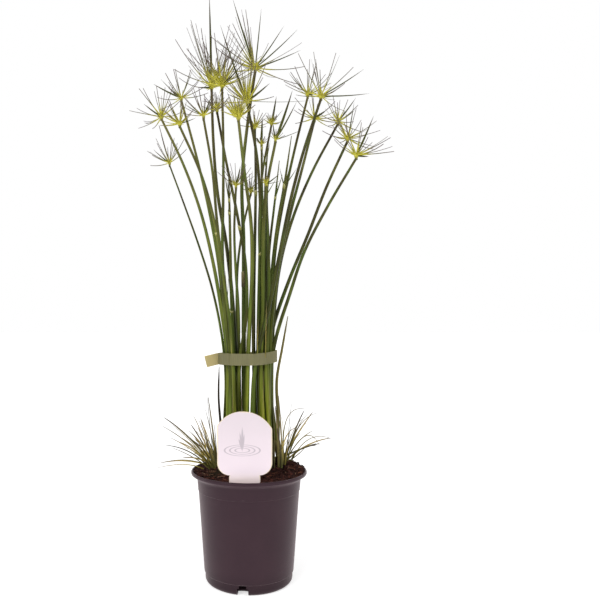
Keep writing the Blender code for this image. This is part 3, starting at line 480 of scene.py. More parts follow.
def moulded_polypropylene(settings):
    """Recycled polypropylene, injection moulded: near black brown, satin, with faint flow marks, scuffed; a
    painted highlight along the rim and the seam, and painted shade at the foot.
    """
    material, tree, place = new_finish("moulded_polypropylene", "place")
    # Flow marks run level round the wall, some 3 mm apart
    level = add_node(tree, "Mapping", {"Vector": place, "Scale": (0.12, 0.12, 1.0)})
    flow = add_node(tree, "TexNoise", {"Vector": level, "Scale": 330.0, "Detail": 3.0})
    cloud = add_node(tree, "TexNoise", {"Vector": place, "Scale": 28.0, "Detail": 4.0, "Roughness": 0.6})
    grain = add_node(tree, "TexNoise", {"Vector": place, "Scale": 2600.0, "Detail": 2.0})
    tone = add_node(tree, "ValToRGB", {"Fac": cloud}, stops=((0.3, "#32222a"), (0.7, "#3c2a31")))
    # Pale scuffs where the rim and the seam have rubbed, as short level scratches; on the rim's lip and at
    # the seam the pale colour is also a painted highlight
    worn = add_node(tree, "Mapping", {"Vector": place, "Scale": (0.3, 0.3, 2.2)})
    scratch = add_node(tree, "TexNoise", {"Vector": worn, "Scale": 190.0, "Detail": 5.0, "Roughness": 0.7})
    height = add_node(tree, "SeparateXYZ", {"Vector": place}).outputs["Z"]
    rim = add_node(tree, "MapRange", {"Value": height, "From Min": 0.1195, "From Max": 0.1228},
                   interpolation_type="SMOOTHSTEP")
    scuffs = add_node(tree, "MapRange", {"Value": scratch, "From Min": 0.6, "From Max": 0.72})
    off_seam = apart_from(tree, height, (SEAM_Z + 0.9) * MM)
    seam = add_node(tree, "MapRange", {
        "Value": off_seam, "From Min": 0.0014, "From Max": 0.0006, "To Max": 0.8})
    worn_and_highlit_band = add_node(tree, "Math", {0: rim, 1: seam}, operation="MAXIMUM")
    # The rubbed share is partly scuffs and partly painted highlight
    rubbed = add_node(tree, "Math", {0: scuffs, 1: worn_and_highlit_band}, operation="MULTIPLY")
    rubbed = add_node(tree, "Math", {0: rubbed, 1: 0.55}, operation="MULTIPLY")
    skin = add_node(tree, "MixRGB", {"Fac": rubbed, "Color1": tone, "Color2": (*settings.scuff_and_highlight, 1.0)})
    tinted = add_node(tree, "MixRGB", {"Fac": 0.5, "Color1": skin, "Color2": (*settings.plastic, 1.0)})
    # Painted shade darkens the lowest 25 mm, against the light that the floor gives of itself
    damp = add_node(tree, "MapRange", {"Value": height, "From Max": 0.025, "To Min": 0.66},
                    interpolation_type="SMOOTHSTEP")
    foot_shaded = add_node(tree, "MixRGB", {"Fac": 1.0, "Color1": tinted, "Color2": damp}, blend_type="MULTIPLY")
    gloss = add_node(tree, "MapRange", {"Value": cloud, "To Min": 0.34, "To Max": 0.44})
    relief = add_node(tree, "Math", {0: flow, 1: grain}, operation="ADD")
    bump = add_node(tree, "Bump", {"Strength": 0.14, "Distance": 0.0004, "Height": relief})
    close_finish(tree, add_node(tree, "BsdfPrincipled", {
        "Base Color": foot_shaded, "Roughness": gloss, "Specular IOR Level": 0.12, "IOR": 1.49, "Normal": bump,
        "Sheen Weight": 0.22, "Sheen Roughness": 0.42, "Sheen Tint": (1.0, 0.76, 0.79, 1.0)}))
    return material


def damp_peat(settings):
    """Sphagnum peat, damp and crumbled: red brown to black, wholly matt, with pale roots here and there."""
    material, tree, place = new_finish("damp_peat", "place")
    clods = add_node(tree, "TexNoise", {"Vector": place, "Scale": 170.0, "Detail": 6.0, "Roughness": 0.7})
    grains = add_node(tree, "TexVoronoi", {"Vector": place, "Scale": 420.0, "Randomness": 1.0})
    tone = add_node(tree, "ValToRGB", {"Fac": clods}, stops=(
        (0.3, "#1f0f0e"), (0.45, "#3b1f1b"), (0.6, "#60342b"), (0.75, "#87523e")))
    # Painted shade: each grain cell is lighter at its middle and darker towards its edges, shade painted into
    # the gaps between grains
    grain_gap_shade = add_node(tree, "MapRange", {"Value": grains.outputs["Distance"], "From Max": 0.7, "To Min": 1.0,
                                         "To Max": 0.45})
    shaded = add_node(tree, "MixRGB", {"Fac": 1.0, "Color1": tone, "Color2": grain_gap_shade}, blend_type="MULTIPLY")
    moss_reach = add_node(tree, "VectorMath", {0: place, 1: MOSS_SPOT}, operation="DISTANCE").outputs["Value"]
    moss = add_node(tree, "MapRange", {"Value": moss_reach, "From Min": 0.006, "From Max": 0.017,
                                       "To Min": 0.4, "To Max": 0.0}, interpolation_type="SMOOTHSTEP")
    greened = add_node(tree, "MixRGB", {"Fac": moss, "Color1": shaded, "Color2": (*settings.moss, 1.0)})
    bump = add_node(tree, "Bump", {"Strength": 0.7, "Distance": 0.0012, "Height": clods})
    close_finish(tree, add_node(tree, "BsdfPrincipled", {
        "Base Color": greened, "Roughness": 0.95, "Specular IOR Level": 0.2, "Normal": bump}))
    return material


def peat_fibre():
    """Torn roots and sphagnum stems: dry, red brown to straw, matt."""
    material, tree, tint = new_finish("peat_fibre", "tint")
    tone = add_node(tree, "ValToRGB", {"Fac": tint}, stops=(
        (0.0, "#2c1513"), (0.5, "#6b3527"), (0.8, "#8d5a3d"), (1.0, "#b08f72")))
    close_finish(tree, add_node(tree, "BsdfPrincipled", {"Base Color": tone, "Roughness": 0.9}))
    return material


def printed_polystyrene(settings):
    """Polystyrene sheet, printed and die cut: lilac white, satin, cream at the cut edge; a grey emblem;
    painted shade towards the top and painted light at the foot.
    """
    material, tree, place, edge = new_finish("printed_polystyrene", "place", "along")
    cloud = add_node(tree, "TexNoise", {"Vector": place, "Scale": 40.0, "Detail": 3.0})
    height = add_node(tree, "SeparateXYZ", {"Vector": place}).outputs["Z"]
    # Painted shade: the sheet is painted darker towards its top and lighter towards its foot, the blend
    # strayed by a cloud
    lower = add_node(tree, "MapRange", {"Value": height, "From Min": 0.19, "From Max": 0.13})
    clouded = add_node(tree, "MapRange", {"Value": cloud, "To Min": -0.2, "To Max": 0.2})
    lower = add_node(tree, "Math", {0: lower, 1: clouded}, operation="ADD", use_clamp=True)
    sheet = add_node(tree, "MixRGB", {"Fac": lower, "Color1": (*settings.sheet, 1.0),
                                      "Color2": (*settings.sheet_low, 1.0)})
    middle = (-settings.emblem_x, 0.0, -settings.emblem_z)
    print_mask = None
    for turn, rise, reach, wide in REEDS:
        # One reed: an upright ellipse, turned about the emblem's foot
        moved = add_node(tree, "Mapping", {"Vector": place, "Location": middle})
        turned = add_node(tree, "Mapping", {"Vector": moved, "Rotation": (0.0, math.radians(turn), 0.0)})
        sized = add_node(tree, "Mapping", {"Vector": turned, "Location": (0.0, 0.0, -rise / reach),
                                           "Scale": (1 / (wide * MM), 0.0, 1 / (reach * MM))})
        far = add_node(tree, "VectorMath", {0: sized}, operation="LENGTH").outputs["Value"]
        reed = add_node(tree, "MapRange", {"Value": far, "From Min": 1.15, "From Max": 0.75})
        print_mask = reed if print_mask is None else add_node(
            tree, "Math", {0: print_mask, 1: reed}, operation="MAXIMUM")
    ripple_room = add_node(tree, "Mapping", {
        "Vector": place, "Location": (middle[0] / MM, 0.0, middle[2] / MM * RIPPLE_SQUASH),
        "Scale": (1 / MM, 0.0, RIPPLE_SQUASH / MM)})
    ripple_far = add_node(tree, "VectorMath", {0: ripple_room}, operation="LENGTH").outputs["Value"]
    for radius in RIPPLES:
        # One ripple: a flattened ring, 1.7 mm wide at its ends and thinner above and below
        off = apart_from(tree, ripple_far, radius)
        ring = add_node(tree, "MapRange", {"Value": off, "From Min": 1.1, "From Max": 0.6})
        print_mask = add_node(tree, "Math", {0: print_mask, 1: ring}, operation="MAXIMUM")
    faint = add_node(tree, "Math", {0: print_mask, 1: settings.print_strength}, operation="MULTIPLY")
    printed = add_node(tree, "MixRGB", {"Fac": faint, "Color1": sheet, "Color2": (*settings.print_grey, 1.0)})
    # Cream at the cut edge, where the mark is one
    rim = add_node(tree, "MapRange", {"Value": edge, "From Min": 0.93, "From Max": 0.99})
    edged = add_node(tree, "MixRGB", {"Fac": rim, "Color1": printed, "Color2": (*settings.cut_edge, 1.0)})
    # Painted light: the foot is painted paler and pinker where it stands low by the peat and the rim, lifting
    # the shade it gets there
    foot_light_share = add_node(tree, "MapRange", {"Value": height, "From Min": 0.134, "From Max": 0.121,
                                          "To Max": 0.8}, interpolation_type="SMOOTHSTEP")
    stain = (*settings.foot_painted_light, 1.0)
    foot_lightened = add_node(tree, "MixRGB", {"Fac": foot_light_share, "Color1": edged, "Color2": stain})
    bump = add_node(tree, "Bump", {"Strength": 0.06, "Distance": 0.0003, "Height": cloud})
    close_finish(tree, add_node(tree, "BsdfPrincipled", {
        "Base Color": foot_lightened, "Roughness": 0.42, "IOR": 1.59, "Normal": bump}))
    return material


def blown_film(settings):
    """Polyethylene tie tape, blown film: khaki, half clear, with fine lines along it; pale at its ends."""
    material, tree, straight, along = new_finish("blown_film", "straight", "along")
    drawn = add_node(tree, "Mapping", {"Vector": straight, "Scale": (0.05, 1.0, 1.0)})
    lines = add_node(tree, "TexNoise", {"Vector": drawn, "Scale": 900.0, "Detail": 3.0})
    crinkle = add_node(tree, "TexNoise", {"Vector": straight, "Scale": 140.0, "Detail": 3.0})
    shade = add_node(tree, "MixRGB", {"Fac": lines, "Color1": (*settings.film, 1.0),
                                      "Color2": (*settings.film_light, 1.0)})
    from_middle = apart_from(tree, along, 0.5)
    pale = add_node(tree, "MapRange", {"Value": from_middle, "From Min": 0.36, "From Max": 0.47},
                    interpolation_type="SMOOTHSTEP")
    shade = add_node(tree, "MixRGB", {"Fac": pale, "Color1": shade, "Color2": (*settings.film_tail, 1.0)})
    height = add_node(tree, "Math", {0: lines, 1: crinkle}, operation="ADD")
    bump = add_node(tree, "Bump", {"Strength": 0.25, "Distance": 0.0005, "Height": height})
    body = add_node(tree, "BsdfPrincipled", {
        "Base Color": shade, "Roughness": 0.38, "IOR": 1.51, "Normal": bump})
    glow = add_node(tree, "BsdfTranslucent", {"Color": shade, "Normal": bump})
    clear = add_node(tree, "BsdfTransparent", {"Color": (*settings.film_clear, 1.0)})
    film = add_node(tree, "MixShader", {0: 0.45, 1: body, 2: glow})
    close_finish(tree, add_node(tree, "MixShader", {0: settings.clearness, 1: film, 2: clear}))
    return material


def culm_rind(settings):
    """Living sedge rind: waxy green in fine ribs, yellow green low on the lightest culms, olive at the top;
    each culm's share from the dark to the light ramp is partly its own colour and partly painted light and
    shade.
    """
    material, tree, place, straight, along, tint = new_finish(
        "culm_rind", "place", "straight", "along", "tint")
    # Ribs run the length of the culm; the real ones are 0.3 mm apart and these 1 mm, so that they show
    drawn = add_node(tree, "Mapping", {"Vector": straight, "Scale": (1.0, 1.0, 0.02)})
    ribs = add_node(tree, "TexNoise", {"Vector": drawn, "Scale": 800.0, "Detail": 3.0, "Roughness": 0.6})
    # Patches some 7 mm across and 80 mm tall make neighbours differ and one culm change on its way up
    tall = add_node(tree, "Mapping", {"Vector": place, "Scale": (6.0, 6.0, 0.5)})
    patches = add_node(tree, "TexNoise", {"Vector": tall, "Scale": 24.0, "Detail": 2.0})
    dark = add_node(tree, "ValToRGB", {"Fac": along}, stops=(
        (0.0, "#373d08"), (0.25, "#363c14"), (0.6, "#3f3e20"), (0.9, "#403820"), (1.0, "#483f20")))
    light = add_node(tree, "ValToRGB", {"Fac": along}, stops=(
        (0.0, "#a8ac3e"), (0.14, "#8e962c"), (0.26, "#727d30"), (0.45, "#69722e"), (0.7, "#6e7138"),
        (0.95, "#6f683a"), (1.0, "#736e38")))
    wander = add_node(tree, "MapRange", {"Value": patches, "From Min": 0.3, "From Max": 0.7, "To Min": -0.42,
                                         "To Max": 0.42})
    # The culm's share from dark to light is partly its own colour and partly painted light and shade
    lean = add_node(tree, "Math", {0: tint, 1: wander}, operation="ADD", use_clamp=True)
    rind = add_node(tree, "MixRGB", {"Fac": lean, "Color1": dark, "Color2": light})
    # Here and there a culm is a cooler, fresher green for some 60 mm
    broad = add_node(tree, "Mapping", {
        "Vector": place, "Location": (0.4, 0.2, 0.1), "Scale": (5.0, 5.0, 0.6)})
    spots = add_node(tree, "TexNoise", {"Vector": broad, "Scale": 20.0, "Detail": 1.0})
    fresh = add_node(tree, "MapRange", {"Value": spots, "From Min": 0.5, "From Max": 0.62, "To Max": 0.5},
                     interpolation_type="SMOOTHSTEP")
    below = add_node(tree, "MapRange", {"Value": along, "From Min": 0.95, "From Max": 0.7})
    fresh = add_node(tree, "Math", {0: fresh, 1: below}, operation="MULTIPLY")
    rind = add_node(tree, "MixRGB", {"Fac": fresh, "Color1": rind, "Color2": (*settings.fresh, 1.0)})
    rib_tone = add_node(tree, "MapRange", {"Value": ribs, "From Min": 0.35, "From Max": 0.65, "To Min": 0.62,
                                           "To Max": 1.22})
    ribbed = add_node(tree, "MixRGB", {"Fac": 1.0, "Color1": rind, "Color2": rib_tone}, blend_type="MULTIPLY")
    bump = add_node(tree, "Bump", {"Strength": 0.35, "Distance": 0.0004, "Height": ribs})
    close_finish(tree, add_node(tree, "BsdfPrincipled", {
        "Base Color": ribbed, "Roughness": settings.gloss, "Specular IOR Level": 0.11, "Normal": bump}))
    return material


def veined_finish(name, tones, stretch, fineness, contrast, relief, roughness, specular=0.5):
    """A dry or living blade: a ramp along it, or two mixed by the blade's tint, in fine veins along it."""
    material, tree, straight, along, tint = new_finish(name, "straight", "along", "tint")
    drawn = add_node(tree, "Mapping", {"Vector": straight, "Scale": (1.0, 1.0, stretch)})
    veins = add_node(tree, "TexNoise", {"Vector": drawn, "Scale": fineness, "Detail": 3.0})
    tone = add_node(tree, "ValToRGB", {"Fac": along}, stops=tones[0])
    for other in tones[1:]:
        other = add_node(tree, "ValToRGB", {"Fac": along}, stops=other)
        tone = add_node(tree, "MixRGB", {"Fac": tint, "Color1": tone, "Color2": other})
    low, high = contrast
    veins_on = add_node(tree, "MapRange", {"Value": veins, "To Min": low, "To Max": high})
    veined = add_node(tree, "MixRGB", {"Fac": 1.0, "Color1": tone, "Color2": veins_on}, blend_type="MULTIPLY")
    bump = add_node(tree, "Bump", {"Strength": relief, "Distance": 0.0003, "Height": veins})
    close_finish(tree, add_node(tree, "BsdfPrincipled", {
        "Base Color": veined, "Roughness": roughness, "Specular IOR Level": specular, "Normal": bump}))
    return material


def papery_sheath():
    """Dead leaf sheath: papery, red brown to straw, with fine veins along it."""
    brown = ((0.0, "#25120f"), (0.4, "#3a2116"), (0.8, "#55401f"), (1.0, "#6a5f27"))
    straw = ((0.0, "#5f5f2c"), (0.5, "#98964c"), (1.0, "#bdb983"))
    return veined_finish("papery_sheath", (brown, straw), *SHEATH_VEINS, roughness=0.7)


def thread_ray(settings):
    """Living thread-like ray: bright yellow green at its sheathed root, dull olive, then grey at its tip."""
    material, tree, place, straight, along, tint = new_finish(
        "thread_ray", "place", "straight", "along", "tint")
    root = (*settings.hub, 1.0)
    green = add_node(tree, "ValToRGB", {"Fac": along}, stops=(
        (0.0, "#a2a234"), (0.2, "#82852f"), (0.45, "#605e2b"), (0.7, "#554f35"), (1.0, "#71665f")))
    purple = add_node(tree, "ValToRGB", {"Fac": along}, stops=(
        (0.0, "#aca04c"), (0.25, "#827842"), (0.5, "#635641"), (0.75, "#5b4c4c"), (1.0, "#75666e")))
    ray = add_node(tree, "MixRGB", {"Fac": tint, "Color1": green, "Color2": purple})
    run = add_node(tree, "SeparateXYZ", {"Vector": straight}).outputs["Z"]
    # The first 3 mm lie in the hub's sheath, which gives them its colour; it dies out by 16 mm, both lengths
    # being multiplied by the umbel's own root reach
    root_share = add_node(tree, "MapRange", {
        "Value": run, "From Min": 0.016, "From Max": 0.003, "To Max": 0.9}, interpolation_type="SMOOTHSTEP")
    # About one ray in three is dull to its very root
    dull = add_node(tree, "MapRange", {
        "Value": tint, "From Min": 0.55, "From Max": 0.9, "To Min": 1.0, "To Max": 0.3})
    root_share = add_node(tree, "Math", {0: root_share, 1: dull}, operation="MULTIPLY")
    rooted = add_node(tree, "MixRGB", {"Fac": root_share, "Color1": ray, "Color2": root})
    speckle = add_node(tree, "TexNoise", {"Vector": place, "Scale": 420.0, "Detail": 2.0})
    tone = add_node(tree, "MapRange", {"Value": speckle, "From Min": 0.3, "From Max": 0.7, "To Min": 0.7,
                                       "To Max": 1.25})
    toned = add_node(tree, "MixRGB", {"Fac": 1.0, "Color1": rooted, "Color2": tone}, blend_type="MULTIPLY")
    bump = add_node(tree, "Bump", {"Strength": 0.2, "Distance": 0.0003, "Height": speckle})
    close_finish(tree, add_node(tree, "BsdfPrincipled", {
        "Base Color": toned, "Roughness": 0.6, "Specular IOR Level": 0.15, "Normal": bump}))
    return material


def bract_blade():
    """Living bract: firm, keeled, dark olive with a paler root and a drying brown tip."""
    olive = ((0.0, "#8f9030"), (0.15, "#4d5118"), (0.6, "#3f4217"), (0.85, "#453b1f"), (1.0, "#35281c"))
    return veined_finish("bract_blade", (olive,), *BLADE_VEINS, roughness=0.5, specular=0.2)


def basal_blade():
    """Basal grass blade: olive green, browning from the tip; its tint runs to dry straw and brown."""
    green = ((0.0, "#454810"), (0.35, "#474512"), (0.7, "#40371d"), (1.0, "#2c261e"))
    dry = ((0.0, "#8c8030"), (0.35, "#bfaa57"), (0.7, "#b09a64"), (1.0, "#6a5846"))
    return veined_finish("basal_blade", (green, dry), *BLADE_VEINS, roughness=0.6)


def withered_blade():
    """Dead leaf blade: dried nearly black brown, matt, with pale veins along it."""
    material, tree, straight = new_finish("withered_blade", "straight")
    drawn = add_node(tree, "Mapping", {"Vector": straight, "Scale": (1.0, 1.0, 0.04)})
    veins = add_node(tree, "TexNoise", {"Vector": drawn, "Scale": 1100.0, "Detail": 3.0})
    tone = add_node(tree, "ValToRGB", {"Fac": veins}, stops=((0.35, "#1a1411"), (0.65, "#3a2f24")))
    bump = add_node(tree, "Bump", {"Strength": 0.3, "Distance": 0.0003, "Height": veins})
    close_finish(tree, add_node(tree, "BsdfPrincipled", {
        "Base Color": tone, "Roughness": 0.75, "Specular IOR Level": 0.2, "Normal": bump}))
    return material


def studio_paper(settings):
    """Seamless white paper, matt; a little light of its own keeps it white to its far edge."""
    material, tree, place = new_finish("studio_paper", "place")
    tooth = add_node(tree, "TexNoise", {"Vector": place, "Scale": 300.0, "Detail": 2.0})
    bump = add_node(tree, "Bump", {"Strength": 0.02, "Distance": 0.0002, "Height": tooth})
    paper = add_node(tree, "BsdfPrincipled", {
        "Base Color": (*settings.paper, 1.0), "Roughness": 0.9, "Specular IOR Level": 0.1, "Normal": bump,
        "Emission Color": (1.0, 1.0, 1.0, 1.0), "Emission Strength": settings.paper_lift})
    close_finish(tree, paper)
    return material


# Settings

class PotSettings(bpy.types.PropertyGroup):
    """Colours of the pot."""
    plastic: colour("Plastic", "Body colour of the moulded plastic", "#37262d")
    # The scuff colour is also a painted highlight along the rim's lip and the seam
    scuff_and_highlight: colour("Scuff", "Pale colour of the rubbed rim", "#a8999a")


class SoilSettings(bpy.types.PropertyGroup):
    """How the peat is crumbled and what lies on it."""
    moss: colour("Moss", "Green of the algae at the left tuft", "#28301a")
    crumbs: number("Crumbs", "Half-sunk crumbs that shape the surface", 1500)
    grains: number("Grains", "Loose grains on the surface", 620)
    fibres: number("Fibres", "Loose root fibres on the surface", 260)


class TagSettings(bpy.types.PropertyGroup):
    """Sheet and print of the plant tag."""
    thickness: length("Thickness", "Thickness of the sheet", 0.6)
    # Sheet and Sheet, low differ by painted shade: darker at the top
    sheet: colour("Sheet", "Lilac white of the sheet, at its top", "#d5c9cf")
    sheet_low: colour("Sheet, low", "Lilac white of the sheet, at its foot", "#e6d7df")
    cut_edge: colour("Cut edge", "Cream of the die-cut edge", "#e3d2ab")
    # Painted light: a paler, pinker foot that lifts the shade low by the peat
    foot_painted_light: colour("Foot stain", "Pale tint where the tag stands in peat", "#fdebe6")
    print_grey: colour("Print", "Grey of the printed emblem", "#7d747f")
    print_strength: share("Print strength", "How strongly the emblem is printed", 0.45)
    emblem_x: spot("Emblem x", "Foot of the emblem, across", -7.0)
    emblem_z: length("Emblem z", "Foot of the emblem, above the floor", 155.0)


class TieSettings(bpy.types.PropertyGroup):
    """Run and film of the tie."""
    loop_left: spot("Loop's left end", "Where the loop closes into its tail", -34.4)
    tape_width: length("Tape width", "Width of the tape", 13.0)
    film_thickness: length("Film thickness", "Thickness of one layer", 0.3)
    clearness: share("Clearness", "Share of light that passes straight through a layer's face", 0.3)
    film: colour("Film", "Khaki of the film", "#918f68")
    film_light: colour("Film, light", "Lighter khaki along the drawn lines", "#b5b088")
    film_tail: colour("Film, tail", "Straw khaki of the tail", "#e4d9a6")
    film_clear: colour("Film, clear", "Tint of what is seen through it", "#ddd4a8")


class CulmSettings(bpy.types.PropertyGroup):
    """Section and gloss of the culms."""
    corner: share("Corner", "How far the three corners of the section stand out", 0.1)
    sunk: length("Sunk", "How far a culm runs down into the peat", 5.0)
    gloss: share("Roughness", "Roughness of the waxy rind", 0.42)
    fresh: colour("Fresh green", "Cooler green of the freshest stretches", "#536829")


class SpraySettings(bpy.types.PropertyGroup):
    """Rays and bracts of the umbels."""
    hub: colour("Hub", "Yellow green of the hub and the ray roots", "#cbc54a")
    extra_large: number("Extra rays, large", "Thin rays added to a wide umbel", 30)
    extra_small: number("Extra rays, small", "Thin rays added to a small umbel", 5)
    young: number("Young rays", "Short bright rays round the hub of a middling umbel", 15)
    ray_width: length("Ray half width", "Half width of a ray past its root", 0.46)
    extra_share: share("Extra ray share", "Half width of an added ray, as a share of the others", 0.66)


class LeafSettings(bpy.types.PropertyGroup):
    """Basal leaves."""
    blades: number("Extra blades", "Fine blades added to each tuft", 14)


class StageSettings(bpy.types.PropertyGroup):
    """Floor, light and camera."""
    paper: colour("Paper", "Colour of the floor", "#f0f0f0")
    paper_lift: share("Paper's own light", "Light that the floor gives of itself", 0.6)
    sky: share("Sky", "Strength of the even light", 0.42)
    room: share("Room", "Brightness of the room before the plant, as a gloss mirrors it", 0.1)
    key: strength("Key", "Strength of the left light", 1.35)
    fill: strength("Fill", "Strength of the right light", 0.75)


SETTINGS = {
    "pot": PotSettings, "soil": SoilSettings, "tag": TagSettings, "tie": TieSettings,
    "culm": CulmSettings, "spray": SpraySettings, "leaf": LeafSettings, "stage": StageSettings,
}


def papyrus_settings(part):
    """The settings of one part, from the scene."""
    return getattr(bpy.context.scene, "papyrus_" + part)


# Pot

def arc(centre, radius, start, end, steps):
    """Points of an arc in the profile's plane, its angles in degrees from the outward level line."""
    turn = np.radians(np.linspace(start, end, steps))
    return np.column_stack((centre[0] + radius * np.cos(turn), centre[1] + radius * np.sin(turn)))


def pot_profile(rim, top):
    """Radius and height, from under the raised floor, up the wall, over the lip and down inside."""
    flat_out = FOOT_R - FOOT_ROUND
    flat_in = flat_out - FOOT_RING
    lip_low = top - LIP_TALL
    low_r = SHOULDER_R - SEAM_STEP
    slope = (low_r - WALL_FOOT_R) / (SHOULDER_Z - FOOT_Z)
    seam_r = WALL_FOOT_R + slope * (SEAM_Z - FOOT_Z)
    inner = low_r - WALL_THICK
    return np.vstack((
        np.linspace((flat_in - FLOOR_RISE, FLOOR_RISE), (flat_in, 0.0), 3),
        arc((flat_out, FOOT_ROUND), FOOT_ROUND, -90, 0, 8),
        np.linspace((FOOT_R, FOOT_ROUND + 2), (FOOT_R + 0.2, FOOT_Z - 0.6), 3),
        arc((WALL_FOOT_R - 0.5, FOOT_Z + 0.5), 0.5, -50, 0, 4),
        np.linspace((WALL_FOOT_R + slope * 3, FOOT_Z + 3), (seam_r, SEAM_Z - 0.2), 24),
        arc((seam_r + 0.15, SEAM_Z + SEAM_RISE / 2), SEAM_STEP / 2 + 0.1, -60, 20, 4),
        np.linspace((seam_r + SEAM_STEP, SEAM_Z + 1.6), (SHOULDER_R - 0.1, SHOULDER_Z - 1.5), 6),
        np.linspace((SHOULDER_R + 0.3, SHOULDER_Z), (rim - 2.2, lip_low - 0.4), 5),
        arc((rim - LIP_ROUND, lip_low + LIP_ROUND - 0.3), LIP_ROUND, -80, 0, 6),
        arc((rim - LIP_ROUND, top - LIP_ROUND), LIP_ROUND, 0, 90, 7),
        np.linspace((rim - LIP_WALL - 0.2, top - 0.15), (rim - LIP_WALL - 0.5, lip_low), 4),
        np.linspace((inner, SHOULDER_Z - WALL_THICK), (WALL_FOOT_R - WALL_THICK, FOOT_Z), 6),
        np.linspace((FOOT_R - WALL_THICK, FOOT_ROUND), (flat_out, WALL_THICK), 3),
        np.linspace((flat_in + 0.5, WALL_THICK), (flat_in - FLOOR_RISE + 0.5, FLOOR_RISE + WALL_THICK), 3),
    ))


def turned(profile, sides):
    """Rings of a profile turned about the upright axis: (radius cos turn, radius sin turn, height)."""
    turn = np.arange(sides) * FULL_TURN / sides
    radius, height = profile[:, :1] * MM, profile[:, 1:] * MM
    return np.stack((radius * np.cos(turn), radius * np.sin(turn), height + 0 * turn), axis=-1)[None]


def notch_blocks(width, height):
    """Upright blocks round the foot, one for each notch, drawn in a little at the top."""
    angle = np.radians(NOTCH_TURN) + np.arange(NOTCHES) * FULL_TURN / NOTCHES
    out = np.stack((np.cos(angle), np.sin(angle)), axis=-1)
    beside = np.stack((-out[:, 1], out[:, 0]), axis=-1)
    corner = np.array([(-1, -1), (1, -1), (1, 1), (-1, 1)]) / 2
    pinch = np.array([1.0, 1.0, 0.94, 0.82])[None, :, None, None]
    heights = np.array([-height, height - 1.2, height - 0.35, height])[None, :, None, None]
    plan = (FOOT_R * out[:, None, None] + NOTCH_DEEP * corner[:, :1] * out[:, None, None]
            + pinch * width * corner[:, 1:] * beside[:, None, None])
    rings = np.concatenate((plan, np.broadcast_to(heights, plan.shape[:3] + (1,))), axis=-1) * MM
    return net(rings, rings[:, 0].mean(axis=1), rings[:, -1].mean(axis=1))


class BuildPot(bpy.types.Operator):
    """Turn the nursery pot and cut its drainage notches."""
    bl_idname = "papyrus.build_pot"
    bl_label = "Nursery pot"

    def execute(self, context):
        settings = papyrus_settings("pot")
        _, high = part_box("pot")
        rings = turned(pot_profile(high.x / MM, high.z / MM), POT_SIDES)
        shell = net(rings, (0, 0, FLOOR_RISE * MM), (0, 0, (FLOOR_RISE + WALL_THICK) * MM))
        plastic = moulded_polypropylene(settings)
        pot = lay_piece("nursery_pot", [shell], [plastic], "pot")
        cutters = []
        for size in (NOTCH_SIZE, HOLE_SIZE):
            cutter = lay_piece("notch_cutter", [notch_blocks(*size)], [plastic])
            cut = pot.modifiers.new("notches", "BOOLEAN")
            cut.operation = "DIFFERENCE"
            cut.solver = "EXACT"
            cut.object = cutter
            cutters.append(cutter)
        whole = pot.evaluated_get(context.evaluated_depsgraph_get())
        mesh = bpy.data.meshes.new_from_object(whole)
        pot.modifiers.clear()
        pot.data = mesh
        mesh.shade_smooth()
        mesh.set_sharp_from_angle(angle=math.radians(SHARP_ANGLE))
        for cutter in cutters:
            bpy.data.objects.remove(cutter)
        return {"FINISHED"}


# Soil

def soil_level(x, y):
    """Height of the solid's top: the mean of its top corners, weighted by a bell curve of their distance."""
    corners, _ = solid("soil")
    top = corners[corners[:, 2] > SOIL_LEVEL * MM]
    apart = (x[..., None] - top[:, 0]) ** 2 + (y[..., None] - top[:, 1]) ** 2
    weight = np.exp(-apart / (2 * (SOIL_REACH * MM) ** 2))
    return (weight * top[:, 2]).sum(axis=-1) / weight.sum(axis=-1)


def crumb_domes(x, y, count, rng, reach):
    """Height of half-sunk crumbs: above each point the highest of the domes sqrt(size^2 - distance^2)."""
    radius = reach * np.sqrt(rng.uniform(0, 1, count))
    turn = rng.uniform(0, FULL_TURN, count)
    size = MM * rng.uniform(0.8, 3.0, count) ** 1.2
    sunk = rng.uniform(0.3, 0.8, count) * size
    height = np.zeros_like(x)
    for start in range(0, count, CRUMB_BLOCK):
        block = slice(start, start + CRUMB_BLOCK)
        apart = ((x[..., None] - (radius * np.cos(turn))[block]) ** 2
                 + (y[..., None] - (radius * np.sin(turn))[block]) ** 2)
        dome = np.sqrt(np.clip(size[block] ** 2 - apart, 0, None)) - sunk[block]
        height = np.maximum(height, dome.max(axis=-1))
    return height


def heap(x, y):
    """Share of the heap at the back right: a bell curve about its middle."""
    apart = (x - HEAP_SPOT[0] * MM) ** 2 + (y - HEAP_SPOT[1] * MM) ** 2
    return np.exp(-apart / (2 * (HEAP_SPREAD * MM) ** 2))


def rough_soil(x, y, rng, count, reach):
    """Crumbled surface: the solid's level with clods, crumbs and fine grit on it, less at the very edge."""
    inside = np.clip((reach - np.hypot(x, y)) / (3 * MM), 0.0, 1.0)
    clods = 0.9 * MM * waves(x, y, 13 * MM, 14, rng) + 0.35 * MM * waves(x, y, 4 * MM, 18, rng)
    grit = 0.12 * MM * waves(x, y, 1.3 * MM, 24, rng)
    level = soil_level(x, y) - 1.3 * MM + inside * (clods + grit) + crumb_domes(x, y, count, rng, reach)
    beside = (x / MM - TAG_FRONT_X) / TAG_FRONT_HALF
    before_tag = np.exp(-(beside**4)) * (y < TAG_FRONT_Y * MM)
    return level - before_tag * np.clip(level - TAG_FRONT_LEVEL * MM, 0, None)


